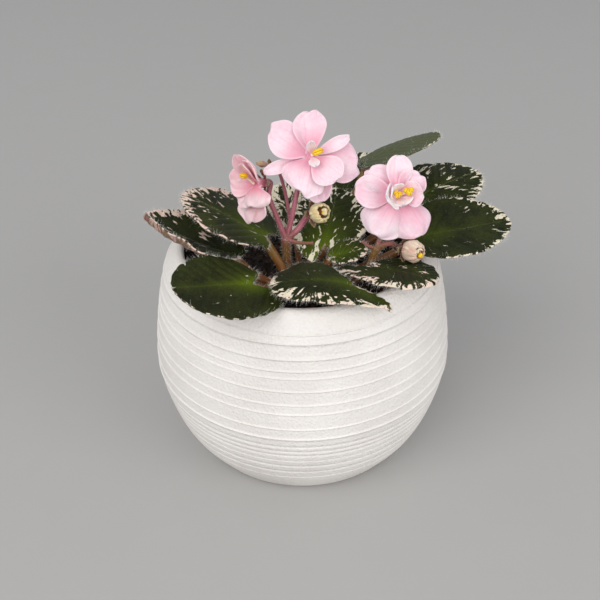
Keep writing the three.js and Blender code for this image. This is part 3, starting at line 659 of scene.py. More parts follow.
# %% Tree of crumbs
def crumbs_tree():
    tree, given, result = new_tree("loose_crumbs", [
        ("Geometry", "Geometry", None), ("Density", "Float", 1.0e5), ("Smallest", "Float", 0.0004),
        ("Largest", "Float", 0.0012), ("Seed", "Int", 1), ("Crumb", "Material", None)])
    scatter = scattered(tree, given, "crumbly")
    ball = node(tree, "GeometryNodeMeshIcoSphere", {"Radius": 1.0, "Subdivisions": 1})
    least = node(tree, "ShaderNodeCombineXYZ", {i: given["Smallest"] for i in range(3)}).outputs[0]
    most = node(tree, "ShaderNodeCombineXYZ", {i: given["Largest"] for i in range(3)}).outputs[0]
    size = random_vector(tree, given, least, most)
    spin = random_vector(tree, given, (-HALF_TURN,) * 3, (HALF_TURN,) * 3)
    many = node(tree, "GeometryNodeInstanceOnPoints", {
        "Points": scatter.outputs[0], "Instance": ball.outputs[0], "Rotation": spin, "Scale": size})
    real = node(tree, "GeometryNodeRealizeInstances", {0: many.outputs[0]})
    painted = node(tree, "GeometryNodeSetMaterial", {
        "Geometry": real.outputs[0], "Material": given["Crumb"]})
    tree.links.new(painted.outputs[0], result[0])
    return tree


HAIRS, CRUMBS = hairs_tree(), crumbs_tree()
print("geometry trees:", HAIRS.name, "and", CRUMBS.name)

# %% [markdown]
# ## Soil and crown
# The pot holds a dark peat mix with brown bark bits and a few white grains of perlite. The surface is a
# lumpy sheet that closes into a solid, and crumbs of three kinds are scattered on it. The crown is the
# short woody stem in the middle, scarred where older leaves have dropped.


# %% Soil and wood finishes
def rough_material(name, dark, light, coarse, roughness, depth):
    material, tree, shader = new_material(name)
    place = object_place(tree)
    grain = placed(tree, MOTTLE, Vector=place, Coarse=coarse, Fine=6 * coarse, Fine_Share=0.5)
    tree.links.new(blend(tree, soft_step(tree, grain, 0.35, 0.65), dark, light), shader.inputs["Base Color"])
    tree.links.new(soft_step(tree, grain, 0.3, 0.7, roughness, 1.0), shader.inputs["Roughness"])
    bumped(tree, shader, grain, depth)
    return material


PEAT = rough_material("peat", (0.006, 0.004, 0.003), (0.030, 0.018, 0.012), 420.0, 0.75, 0.0006)
BARK = rough_material("bark", (0.035, 0.012, 0.006), (0.12, 0.045, 0.022), 700.0, 0.7, 0.0003)
PERLITE = rough_material("perlite", (0.45, 0.43, 0.39), (0.75, 0.72, 0.68), 900.0, 0.6, 0.0002)
WOOD = rough_material("woody_stem", (0.035, 0.016, 0.008), (0.13, 0.07, 0.032), 500.0, 0.7, 0.0004)
print("rough finishes:", [m.name for m in (PEAT, BARK, PERLITE, WOOD)])

# %% Soil
CROWN_PLACE = (1.5, -13.0)
CROWN_RADIUS = 4.4
CROWN_BOTTOM = 58.0
CROWN_TOP = 71.5
SOIL_TOP = 64.3
SOIL_EDGE_HEIGHT = 65.0
SOIL_SIDE_TOP = 60
SOIL_FOOT = (34.6, 3.3)
SOIL_LUMP = 0.35
CROWN_DIP = 1.5
DIP_RADIUS = 12
GAP = 0.3
SOIL_RINGS = 30
SOIL_SIDES = 128


def soil_height(x, y):
    lumps = np.sin(0.55 * x + 1.3) * np.cos(0.47 * y) + 0.7 * np.sin(0.9 * y - 0.4 * x)
    away = np.minimum(1, np.hypot(x - CROWN_PLACE[0], y - CROWN_PLACE[1]) / DIP_RADIUS)
    fine = 0.16 * np.sin(2.3 * x + 0.7 * y) * np.sin(1.9 * y - 0.8 * x)
    finest = 0.1 * np.sin(4.7 * x) * np.sin(4.1 * y)
    return SOIL_TOP + SOIL_LUMP * lumps * away - CROWN_DIP * (1 - away ** 2) + fine + finest


edge = inner_radius(SOIL_EDGE_HEIGHT) - GAP
side_line = [(inner_radius(z) - GAP, z) for z in reversed(INSIDE_HEIGHTS) if z <= SOIL_SIDE_TOP]
soil_line = [(0, SOIL_FOOT[1]), SOIL_FOOT, *side_line]
soil_line += [(edge * (1 - n / SOIL_RINGS), SOIL_TOP) for n in range(SOIL_RINGS)] + [(0, SOIL_TOP)]
points, faces = turned(soil_line, SOIL_SIDES)
top = points[:, 2] >= SOIL_TOP
points[top, 2] = soil_height(points[top, 0], points[top, 1])
soil_form = Form().add(points, faces, crumbly=top.astype(float))
soil = soil_form.piece("soil_body", [PEAT], ["soil"], "soil")
print("soil:", triangles(soil), "triangles")


# %% Crumbs on the soil
def scatter_crumbs(name, seed, density, smallest, largest, material):
    spread = soil_form.piece(name, [material], ["soil"], "soil")
    grown(spread, CRUMBS, Density=density, Smallest=smallest * MM, Largest=largest * MM, Seed=seed,
          Crumb=material)
    print(name, triangles(spread), "triangles")


scatter_crumbs("soil_peat_crumbs", 3, 5.0e5, 0.35, 1.1, PEAT)
scatter_crumbs("soil_bark_bits", 5, 1.1e5, 0.3, 1.3, BARK)
scatter_crumbs("soil_perlite_grains", 8, 0.6e4, 0.3, 0.7, PERLITE)

# %% Crown
CROWN_SIDES = 40
CROWN_FOOT = [(0, CROWN_BOTTOM), (2.9, CROWN_BOTTOM), (CROWN_RADIUS - 0.1, CROWN_BOTTOM + 2)]
CROWN_SIDE = np.linspace(61, 69.6, 18)
CROWN_HEAD = [(4.1, 70.6), (3.4, 71.2), (2.4, CROWN_TOP), (0, CROWN_TOP)]
SCAR_DEPTH = 0.035
crown_line = CROWN_FOOT + [(CROWN_RADIUS, z) for z in CROWN_SIDE] + CROWN_HEAD
points, faces = turned(crown_line, CROWN_SIDES)
angle = np.arctan2(points[:, 1], points[:, 0])
scars = np.sin(5 * angle + 1.6 * points[:, 2]) * np.sin(1.9 * points[:, 2] - 2 * angle)
points[:, :2] *= (1 - SCAR_DEPTH + SCAR_DEPTH * scars)[:, None]
points[:, :2] += CROWN_PLACE
crown = Form().add(points, faces).piece("woody_crown", [WOOD], ["crown"], "crown")
print("crown:", triangles(crown), "triangles")

# %% [markdown]
# ## How a leaf looks
# The leaves are dark olive green and velvety. Their edges are painted cream and rose in ragged streaks that
# follow the side veins, some more and some less, and where the petiole comes in a painted yellow glow stands
# in for light shining through the green.
# One material serves all leaves. It reads values that the mesh carries at each point: the distance to the
# edge, how wide the cream margin is there, how many flecks, how near a vein is, and which side is up.


# %% Leaf finish: where it is cream
def cream_mask(tree, surface):
    edge_mm, margin, flecks = (value_of(tree, name) for name in ("edge_mm", "margin_mm", "flecks"))
    rim_place = node(tree, "ShaderNodeCombineXYZ", {0: value_of(tree, "around_mm"), 1: edge_mm}).outputs[0]
    teeth = placed(tree, STREAKS, Vector=rim_place, Across=0.8, Along=0.3, Start=1.7)
    narrow = placed(tree, STREAKS, Vector=surface, Across=900.0, Along=210.0, Start=7.3)
    # The cream margin ends in streaks. Where the teeth are weak, green reaches the very edge.
    strength = calc(tree, "ADD", calc(tree, "MULTIPLY", teeth, 0.65), calc(tree, "MULTIPLY", narrow, 0.35))
    width = calc(tree, "MULTIPLY", margin, soft_step(tree, strength, 0.42, 0.60, -0.3, 2.3))
    cream = soft_step(tree, calc(tree, "SUBTRACT", width, edge_mm), 0.03, 0.15)
    loose = soft_step(tree, calc(tree, "ADD", narrow, calc(tree, "MULTIPLY", flecks, 0.14)), 0.70, 0.73)
    cream = calc(tree, "MAXIMUM", cream, loose)
    # Green islands stay inside the cream.
    islands = placed(tree, STREAKS, Vector=surface, Across=1700.0, Along=700.0, Start=3.1)
    return calc(tree, "MULTIPLY", cream, soft_step(tree, islands, 0.60, 0.64, 1.0, 0.10))


# %% Leaf finish: its colours and its velvet
LEAF_GREENS = (0.009, 0.0135, 0.002), (0.034, 0.043, 0.007)
LEAF_VEIN = (0.07, 0.09, 0.015)
# Painted light: the yellow of light shining through the leaf near the petiole.
LEAF_PAINTED_GLOW = (0.11, 0.165, 0.003)
LEAF_DUST = (0.15, 0.17, 0.085)
LEAF_CREAM, LEAF_ROSE = (0.80, 0.74, 0.57), (0.82, 0.60, 0.53)
UNDERSIDES = (0.17, 0.055, 0.045), (0.22, 0.16, 0.09)
UNDER_CREAM = (0.74, 0.50, 0.46)


def upper_colour(tree, drift, cream):
    green = blend(tree, soft_step(tree, drift, 0.38, 0.68), *LEAF_GREENS)
    vein = soft_step(tree, value_of(tree, "vein_mm"), 0.05, 0.45, 0.30, 0.0)
    green = blend(tree, vein, green, LEAF_VEIN)
    # Painted light: a yellow glow near the petiole and along the midrib, standing in for light shining
    # through the leaf.
    green = blend(tree, value_of(tree, "glow"), green, LEAF_PAINTED_GLOW)
    green = blend(tree, value_of(tree, "dusty"), green, LEAF_DUST)
    rosy = soft_step(tree, calc(tree, "ADD", drift, value_of(tree, "blush")), 0.65, 1.05)
    return blend(tree, cream, green, blend(tree, rosy, LEAF_CREAM, LEAF_ROSE))


def leaf_material():
    material, tree, shader = new_material(
        "leaf_blade", specular=0.15, scatter=0.06, scatter_colour=(0.6, 1.0, 0.2), scatter_reach=0.0006)
    place = object_place(tree)
    cream = cream_mask(tree, surface_place(tree))
    drift = placed(tree, MOTTLE, Vector=place, Coarse=130.0, Fine=1500.0, Fine_Share=0.4)
    under_green = blend(tree, soft_step(tree, drift, 0.3, 0.7), *UNDERSIDES)
    under = blend(tree, calc(tree, "MULTIPLY", cream, 0.5), under_green, UNDER_CREAM)
    side = soft_step(tree, value_of(tree, "upper"), 0.2, 0.45)
    colour = blend(tree, side, under, upper_colour(tree, drift, cream))
    tree.links.new(colour, shader.inputs["Base Color"])
    tree.links.new(soft_step(tree, drift, 0.3, 0.7, 0.40, 0.60), shader.inputs["Roughness"])
    domes = placed(tree, CELLS, Vector=place, Scale=1900.0, Roundness=0.8)
    bumped(tree, shader, calc(tree, "ADD", calc(tree, "MULTIPLY", domes, 0.7), drift), 0.00016, 0.7)
    return material


LEAF = leaf_material()
print("leaf finish:", len(LEAF.node_tree.nodes), "nodes")

# %% [markdown]
# Petioles and hairs have their own finish. A petiole is orange-brown below and olive where it meets the
# blade. Hairs are pale, so a row of them draws a bright line round each leaf.


# %% Petiole and hair finishes
HAIR_SHADES = (0.62, 0.62, 0.52), (0.92, 0.90, 0.86)
LEVEL_WANDER = 0.012


def stem_material(name, low_colour, high_colour, low, high, dark):
    material, tree, shader = new_material(name, scatter=0.12, scatter_reach=0.0008)
    place = object_place(tree)
    lines = placed(tree, STREAKS, Vector=surface_place(tree), Across=2500.0, Along=120.0, Start=2.0)
    height = node(tree, "ShaderNodeSeparateXYZ", {0: place}).outputs[2]
    drift = placed(tree, MOTTLE, Vector=place, Coarse=260.0, Fine=1800.0)
    wander = calc(tree, "MULTIPLY", calc(tree, "SUBTRACT", drift, 0.5), LEVEL_WANDER)
    level = calc(tree, "ADD", height, wander)
    colour = blend(tree, soft_step(tree, level, low * MM, high * MM), low_colour, high_colour)
    colour = blend(tree, soft_step(tree, lines, 0.42, 0.68, 0.0, 0.5), colour, dark)
    tree.links.new(colour, shader.inputs["Base Color"])
    tree.links.new(soft_step(tree, drift, 0.3, 0.7, 0.35, 0.55), shader.inputs["Roughness"])
    bumped(tree, shader, calc(tree, "ADD", lines, drift), 0.00012, 0.6)
    return material


def hair_material():
    material, tree, shader = new_material("white_hair")
    tone = placed(tree, MOTTLE, Vector=object_place(tree), Coarse=200.0, Fine=1500.0)
    tree.links.new(blend(tree, tone, *HAIR_SHADES), shader.inputs["Base Color"])
    tree.links.new(soft_step(tree, tone, 0.3, 0.7, 0.25, 0.45), shader.inputs["Roughness"])
    return material


PETIOLE = stem_material("petiole", (0.25, 0.075, 0.010), (0.22, 0.12, 0.018), 66, 80, (0.09, 0.024, 0.004))
STALK = stem_material("flower_stalk", (0.19, 0.10, 0.018), (0.46, 0.15, 0.19), 77, 83, (0.17, 0.024, 0.04))
HAIR = hair_material()
print("stem finishes:", PETIOLE.name, STALK.name, HAIR.name)

# %% [markdown]
# ## The leaves
# A leaf is a blade on a round petiole. The tables give the same places and forms as the CAD model. On top
# of them the fine blade gets what the plain one lacks: scalloped teeth, a midrib groove, side veins with the
# quilted green between them, and a gentle ripple along the edge. A table of markings says, for the left
# and the right half, how wide the cream margin is at the base, in the middle and at the tip.

# %% Leaf forms
# leaves is the angle and the height at which the petiole leaves the crown, junction is where the blade
# begins, and cup and lobes have a value for the left half and one for the right half.
LEAF_FORM = {"widest": 0.42, "fullness": 0.57, "neck": 0.2, "tip": 0.6, "rounding": 3}
LEAVES = {
    "leaf_front_left": dict(
        leaves=(240, 66.2), junction=(-14, -31.3, 76.4), heading=207, pitch=16, roll=-14,
        fullness=0.5, neck=0.5, rounding=6,
        length=24, width=26, arch=5, cup=(1, 0), lobes=(9.4, 3.2), skew=0.08),
    "leaf_front": dict(
        leaves=(-72, 66.2), junction=(14, -33.4, 77.1), heading=179, pitch=16, roll=2,
        fullness=0.42, neck=0.6, rounding=8,
        length=23, width=24.5, arch=29, cup=(-2, -2.7), lobes=(12.4, -3.2), skew=-0.28, bend=0.6),
    "leaf_front_right": dict(
        leaves=(-36, 65.8), junction=(21.8, -22.4, 76), heading=-26, pitch=6, roll=-11,
        length=18, width=22.3, arch=16, cup=(-0.7, -1.1), lobes=(3, 13), skew=0.15, bend=2),
    "leaf_right": dict(
        leaves=(14, 65.8), junction=(35.4, -7, 76.7), heading=8, pitch=8, roll=7.5,
        length=28.7, width=28.4, arch=3, cup=(0.8, 1.2), lobes=(5.5, 6), skew=0.05),
    "leaf_right_back": dict(
        leaves=(50, 65.8), junction=(35, 12.85, 78.55), heading=29, pitch=15, roll=8,
        length=26.5, width=25.7, arch=12, cup=(-0.9, 0), lobes=(4, 4), skew=0.05, bend=-1),
    "leaf_back_high": dict(
        leaves=(20, 69), via=((12.6, 3.4, 76.4), (15.7, 9, 78.9)),
        junction=(21.2, 20, 88.8), heading=23, pitch=16, roll=-17, fullness=0.42,
        length=26, width=22, arch=8, cup=(-0.9, -0.2), lobes=(1.5, 3), bend=0.6),
    "leaf_back": dict(
        leaves=(88, 65.8), junction=(9.5, 10.4, 77), heading=60, pitch=18, roll=8,
        length=30.5, width=27, arch=10, cup=(-1, -0.5), lobes=(4, 3)),
    "leaf_centre": dict(
        leaves=(66, 68.8), junction=(7, -8.2, 75.5), heading=76, pitch=24, roll=7,
        length=23.3, width=22.9, arch=11, cup=(0.2, 0.7), lobes=(7.3, 1.1), bend=0.6),
    "leaf_left_back": dict(
        leaves=(192, 68.4), junction=(-11.1, -11, 80.5), heading=160, pitch=21, roll=2.6,
        fullness=0.53, neck=0.5, rounding=6,
        length=27.7, width=27.3, arch=4, cup=(1.4, -0.4), lobes=(3.2, 3.4), skew=-0.08, bend=-1.2),
    "leaf_left": dict(
        leaves=(210, 65.6), via=((-8, -17, 67), (-14, -16.4, 69.6)),
        junction=(-19.3, -12.2, 74.2), heading=175, pitch=15, roll=8.5,
        length=30, width=24.7, arch=-16, cup=(3, 3.9), lobes=(1, 2.2), skew=0.06, bend=-1.5),
    "young_leaf_back": dict(
        young=True, leaves=(112, 68.6), junction=(-2, 1.2, 75.9), heading=104, pitch=27, roll=0,
        length=18, width=13, arch=8, cup=(0.8, 0.8), lobes=(2, 2)),
    "young_leaf_front": dict(
        young=True, leaves=(-4, 71), junction=(9.4, -14, 74.6), heading=2, pitch=16, roll=8,
        length=10.5, width=10, arch=6, cup=(0.6, 0.8), lobes=(1.5, 1.5)),
}
print("leaves:", len(LEAVES), "with blades", min(leaf["length"] for leaf in LEAVES.values()), "to",
      max(leaf["length"] for leaf in LEAVES.values()), "mm long")

# %% Leaf markings
# left and right are the margin's width in mm at the base, in the middle and at the tip. flecks has a value
# for the base and one for the tip.
# glow is the strength of the painted glow of light through the leaf, and spread is how far it reaches.
PLAIN_MARKS = dict(flecks=(0, 0), glow=0, blush=0, dusty=0, spread=34)
MARKINGS = {
    "leaf_front_left": dict(left=(0, 0.06, 0.12), right=(0, 0, 0.1), glow=0.8),
    "leaf_front": dict(left=(0.5, 2.0, 2.2), right=(0, 0, 1.2), glow=0.45, blush=0.3),
    "leaf_front_right": dict(
        left=(0.5, 0.05, 0.5), right=(1.4, 1.0, 0.9), flecks=(0, 0.6), glow=0.05, blush=0.35),
    "leaf_right": dict(
        left=(0, 0.1, 2.4), right=(0, 0.3, 0.9), flecks=(0, 0.6), glow=0.4, blush=0.2, spread=55),
    "leaf_right_back": dict(left=(0.1, 0.3, 1.3), right=(0.1, 0.3, 1.4), flecks=(0.6, 0.75), glow=0.35),
    "leaf_back_high": dict(left=(0, 0, 0), right=(0, 0, 0.15), dusty=0.55),
    "leaf_back": dict(left=(1.3, 2.0, 2.6), right=(1.1, 1.7, 2.4), flecks=(0.3, 0.5), glow=0.3),
    "leaf_centre": dict(
        left=(0.9, 1.6, 2.3), right=(0.9, 1.5, 2.2), flecks=(0.4, 0.7), glow=0.7, spread=120),
    "leaf_left_back": dict(
        left=(0, 0.3, 2.4), right=(0, 0.7, 4.0), flecks=(0, 0.9), glow=0.5, blush=0.4, spread=80),
    "leaf_left": dict(
        left=(0.5, 1.1, 2.4), right=(0.1, 0.5, 2.0), flecks=(0.3, 0.5), glow=0.05, blush=0.4),
    "young_leaf_back": dict(
        left=(1.9, 2.4, 2.8), right=(2.0, 2.4, 2.8), flecks=(0.8, 1.0), glow=0.2, blush=0.2),
    "young_leaf_front": dict(
        left=(0.0, 0.1, 0.4), right=(0.5, 0.7, 0.8), flecks=(0.3, 0.5), glow=0.6, blush=0.35, spread=60),
}
MARGIN_STOPS = [0, 0.5, 1]
print("widest cream margin:", max(max(*m["left"], *m["right"]) for m in MARKINGS.values()), "mm")

# %% [markdown]
# The relief is a sum of small heights. Each side vein is a groove, the green between two veins swells like a
# quilt, the midrib is a deeper groove, and the edge ripples. Scalloped teeth shift the edge outwards and
# inwards, and a leaf may have one torn notch.

# %% Fine relief of a blade
SIDE_VEINS = 7.5
VEIN_SLANT = 0.85
VEIN_CURVE = 0.012
ACROSS_VEIN = 0.76
QUILT_HEIGHT = 0.17
VEIN_DEPTH, VEIN_HALF_WIDTH = 0.14, 0.38
MIDRIB_DEPTH, MIDRIB_HALF_WIDTH = 0.34, 0.75
FLAT_EDGE = (0.78, 1.0)
RIPPLES, RIPPLE_SHIFT = 3.1, 0.37
RIPPLE_SIZE = 0.32
CALM_RIPPLE = {"leaf_back_high": 0.05, "leaf_front_left": 0.2, "leaf_right": 0.15}


def leaf_relief(u, v, form, leaf_number, ripple_size):
    """Height of the fine relief in mm, and the distance to the nearest vein."""
    reach, _, half = blade_lie(u, v, form)
    off = np.abs(half * v)
    spacing = form["length"] / SIDE_VEINS
    lines = (reach - VEIN_SLANT * off + VEIN_CURVE * off ** 2) / spacing + np.where(v < 0, 0.5, 0.0)
    side_vein = np.abs(lines - np.round(lines)) * spacing * ACROSS_VEIN
    pillow = np.sin(math.pi * np.abs(v) ** 0.9) ** 0.8
    quilt = QUILT_HEIGHT * (0.5 - 0.5 * np.cos(2 * math.pi * lines)) * pillow
    groove = -VEIN_DEPTH * np.exp(-(side_vein / VEIN_HALF_WIDTH) ** 2) * (1 - smooth(np.abs(v), *FLAT_EDGE))
    midrib = -MIDRIB_DEPTH * np.exp(-(off / MIDRIB_HALF_WIDTH) ** 2) * (1 - u) ** 0.4
    wave = np.sin(2 * math.pi * (RIPPLES * u + RIPPLE_SHIFT * leaf_number) + np.sign(v))
    ripple = ripple_size * wave * np.abs(v) ** 3
    vein_mm = np.minimum(off, side_vein + 0.12 + 0.5 * np.abs(v))
    return quilt + groove + midrib + ripple * np.sin(math.pi * np.clip(u, 0, 1)), vein_mm


# %% Teeth and notch of a blade
TEETH = 11
TEETH_BLADE = 28
TOOTH_SIZE = 0.42
TOOTH_MIDDLE = 0.62
NOTCH = {"leaf_front_left": (0.733, -1, 1.7)}
NOTCH_WIDTH = 0.016


def leaf_teeth(u, v, form, name):
    wave = np.abs(np.sin(math.pi * TEETH * form["length"] / TEETH_BLADE * u + 0.6 * np.sign(v))) ** 0.7
    tooth = TOOTH_SIZE * (wave - TOOTH_MIDDLE) * np.sin(math.pi * np.clip(u, 0, 0.98)) ** 0.25
    if name in NOTCH:
        place, side, depth = NOTCH[name]
        tooth = tooth - depth * np.exp(-((u - place) / NOTCH_WIDTH) ** 2) * (v * side > 0)
    return tooth * np.abs(v) ** 6 * np.sign(v)


# %% Paint values of a blade
# The glow is painted light through the leaf. These set how it spreads round the petiole and along the
# midrib.
GLOW_SQUASH = 1.6
MIDRIB_GLOW = 1.3
# Beside the petiole the edge counts as farther away, so no cream comes near it.
JUNCTION_HALF, JUNCTION_CLEAR = 0.12, 9
STREAK_ANGLE = math.radians(17)
MIDDLE_SHARE = 0.45
MEAN_RADIUS = 13
# Shifts in mm, so that no two leaves or halves share a pattern.
NEXT_LEAF_AROUND, NEXT_LEAF_ALONG, OTHER_HALF = 90, 13, 40


def leaf_paint(u, v, form, marks, number):
    """Distance to the edge, place round it, cream margin, flecks and the painted glow of light through the
    leaf at each place of a blade.
    """
    reach, across, half = blade_lie(u, v, form)
    lobe = np.where(v < 0, *form["lobes"][::-1])
    base_edge = u * (form["length"] + 3 * lobe * v ** 2) + JUNCTION_CLEAR * (np.abs(v) < JUNCTION_HALF)
    edge_mm = np.minimum((1 - np.abs(v)) * half, (1 - u) * form["length"])
    left, right = (np.interp(u, MARGIN_STOPS, marks[key]) for key in ("left", "right"))
    # near and ridge shape the painted glow of light through the leaf.
    near = np.exp(-(np.maximum(reach, 0) ** 2 + (GLOW_SQUASH * half * v) ** 2) / marks["spread"])
    ridge = np.exp(-(half * v / MIDRIB_GLOW) ** 2) * (1 - u)
    around = np.arctan2(across, reach - MIDDLE_SHARE * form["length"]) * MEAN_RADIUS
    return {"edge_mm": np.minimum(edge_mm, base_edge), "around_mm": around + NEXT_LEAF_AROUND * number,
            "margin_mm": np.where(v < 0, right, left), "flecks": np.interp(u, [0, 1], marks["flecks"]),
            "glow": marks["glow"] * np.clip(0.75 * near + 0.4 * ridge, 0, 1)}


def streak_uv(u, v, form, number):
    """Flat place on the blade, turned so that streaks run along the side veins of both halves."""
    reach, _, half = blade_lie(u, v, form)
    off = np.abs(half * v)
    cosine, sine = math.cos(STREAK_ANGLE), math.sin(STREAK_ANGLE)
    return np.stack([off * cosine - reach * sine + OTHER_HALF * (v < 0),
                     reach * cosine + off * sine + NEXT_LEAF_ALONG * number], -1) * MM


# %% Where hairs grow
HAIR_ON_TOP, HAIR_BELOW, HAIR_ON_RIM = 0.0012, 0.03, 1.3
HAIR_NEAR_EDGE, NEAR_EDGE_MM = 0.12, 0.6
HAIR_ROOM = (1.1, 2.0)


def hair_amount(points, side, edge_mm):
    """Most hairs stand on the rim, and none where they would stick out of the CAD model's box."""
    hairy = np.where(side > 0.8, HAIR_ON_TOP, np.where(side < 0.2, HAIR_BELOW, HAIR_ON_RIM))
    hairy = np.where((side > 0.8) & (edge_mm < NEAR_EDGE_MM), HAIR_NEAR_EDGE, hairy)
    room = np.minimum(points - BOX_LOW, BOX_HIGH - points).min(axis=1)
    return hairy * smooth(room, *HAIR_ROOM)


# %% Blade of one leaf
LEAF_ROWS = 104
LEAF_COLUMNS = 44
LEAF_THICKNESS = (0.95, 0.5)
RIB_HEIGHT = 0.5
EDGE_CURL = {"leaf_left": (1, 1.5), "leaf_front_right": (-1, -0.5)}


def leaf_blade(name, leaf, number):
    form = {**LEAF_FORM, **leaf}
    u, v = blade_grid(LEAF_ROWS, LEAF_COLUMNS)
    reach, across, half = blade_lie(u, v, form)
    relief, vein_mm = leaf_relief(u, v, form, number, CALM_RIPPLE.get(name, RIPPLE_SIZE))
    curled_side, rise = EDGE_CURL.get(name, (1, 0))
    relief = relief + rise * smooth(v * curled_side, *FLAT_EDGE) * smooth(u, 0.25, 0.6)
    lift = cup_lift(v, half, form) + relief
    middle = blade_curl(reach, across + leaf_teeth(u, v, form, name), lift, form)
    middle = middle @ blade_turn(leaf["heading"], leaf["pitch"], leaf["roll"]).T + leaf["junction"]
    body = np.interp(np.abs(v), [0, 1], LEAF_THICKNESS) / 2
    rib = RIB_HEIGHT * np.maximum(0, 1 - 3 * np.abs(v)) * (1 - u)
    points, faces, source, side = blade_shell(middle, body, body + rib)
    marks = {**PLAIN_MARKS, **MARKINGS[name]}
    paint = dict(leaf_paint(u, v, form, marks, number), vein_mm=vein_mm)
    values = {key: grid.ravel()[source] for key, grid in paint.items()}
    values.update(upper=side, hairy=hair_amount(points, side, values["edge_mm"]))
    values.update(blush=marks["blush"], dusty=marks["dusty"])
    return points, faces, streak_uv(u, v, form, number).reshape(-1, 2)[source], values


# %% Petiole of one leaf
PETIOLE_RADIUS, YOUNG_PETIOLE_RADIUS, PETIOLE_END_RADIUS = 1.35, 0.95, 0.7
PETIOLE_STEPS, PETIOLE_SIDES = 44, 14
ROOT_LENGTH = 1.2
UNDER_BASE = [0.3, 0, -1.25]
PETIOLE_REACH = 4
PETIOLE_DEPTH = 1.0
SAG_SHARE = 0.06


def crown_root(leaves):
    """Where a petiole or stalk leaves the crown, at an angle and a height, and its way out."""
    angle, height = leaves
    out = np.array([math.cos(math.radians(angle)), math.sin(math.radians(angle)), 0])
    root = np.array([*CROWN_PLACE, 0]) + out * (CROWN_RADIUS + GAP)
    root[2] = height
    return root, out


def petiole_bar(leaf):
    form = {**LEAF_FORM, **leaf}
    root, out = crown_root(leaf["leaves"])
    spin = blade_turn(leaf["heading"], leaf["pitch"], leaf["roll"])
    under = spin @ UNDER_BASE + leaf["junction"]
    flat = blade_lie(np.array([PETIOLE_REACH / leaf["length"]]), np.array([0.0]), form)
    end = blade_curl(flat[0], flat[1], np.array([0.0]), form)[0]
    end = spin @ (end - [0, 0, PETIOLE_DEPTH]) + leaf["junction"]
    sag = root + (under - root) / 2
    sag[2] -= SAG_SHARE * np.linalg.norm(under - root)
    path = [root, root + ROOT_LENGTH * out, *leaf.get("via", [sag]), under, end]
    thick = YOUNG_PETIOLE_RADIUS if leaf.get("young") else PETIOLE_RADIUS
    return bar(path, [thick] * (len(path) - 1) + [PETIOLE_END_RADIUS], PETIOLE_STEPS, PETIOLE_SIDES)


# %% Make the leaves
AROUND_BAR = 6.0
PETIOLE_LENGTH = 30
PETIOLE_HAIR = 0.05
LEAF_HAIRS = dict(Density=9.0e6, Length=1.6 * MM, Thickness=0.028 * MM, Lean=0.5, Hair=HAIR)


def surface_of_bar(along, sides, length):
    """UV of a bar in metres: round it, then along it."""
    ring = (np.arange(len(along)) % sides) / sides
    return np.stack([ring * AROUND_BAR, along * length], -1) * MM


for number, (name, leaf) in enumerate(LEAVES.items()):
    points, faces, uv, values = leaf_blade(name, leaf, number)
    form = Form().add(points, faces, 0, uv, **values)
    points, faces, along = petiole_bar(leaf)
    form.add(points, faces, 1, surface_of_bar(along, PETIOLE_SIDES, PETIOLE_LENGTH), hairy=PETIOLE_HAIR)
    kind = "young_leaf" if leaf.get("young") else "leaf"
    made = form.piece(name + "_fine", [LEAF, PETIOLE], [name], kind)
    grown(made, HAIRS, Seed=11 + number, **LEAF_HAIRS)
    print(name, triangles(made), "triangles")

# %% [markdown]
# ## How petals look
# The petals are pale pink, almost white where light falls on them, and deeper towards the throat. Fine veins
# run along them, and cells sparkle a little. They let light through, so a small share of subsurface
# scattering softens their shade. Buds and sepals use the same function with their own colours.


# %% Petal finish
def petal_material(name, pale, body, deep, vein_share, glow):
    material, tree, shader = new_material(
        name, specular=0.3, scatter=glow, scatter_colour=(1.0, 0.45, 0.5), scatter_reach=0.0015, sheen=0.1)
    place = object_place(tree)
    along, edge_mm, tone = (value_of(tree, label) for label in ("along", "edge_mm", "tone"))
    drift = placed(tree, MOTTLE, Vector=place, Coarse=170.0, Fine=1300.0, Fine_Share=0.3)
    mixed = calc(tree, "ADD", drift, tone)
    colour = blend(tree, soft_step(tree, mixed, 0.3, 0.8), pale, body)
    colour = blend(tree, soft_step(tree, along, 0.08, 0.72, 0.85, 0.0), colour, deep)
    veins = placed(tree, STREAKS, Vector=surface_place(tree), Across=1500.0, Along=90.0, Start=4.0)
    colour = blend(tree, soft_step(tree, veins, 0.5, 0.75, 0.0, vein_share), colour, deep)
    colour = blend(tree, soft_step(tree, edge_mm, 0.0, 0.9, 0.5, 0.0), colour, pale)
    tree.links.new(colour, shader.inputs["Base Color"])
    tree.links.new(soft_step(tree, drift, 0.3, 0.7, 0.45, 0.6), shader.inputs["Roughness"])
    cells = placed(tree, CELLS, Vector=place, Scale=3200.0, Roundness=0.8)
    relief = calc(tree, "ADD", calc(tree, "MULTIPLY", cells, 0.5), calc(tree, "MULTIPLY", veins, 0.5))
    bumped(tree, shader, relief, 0.00008, 0.5)
    return material


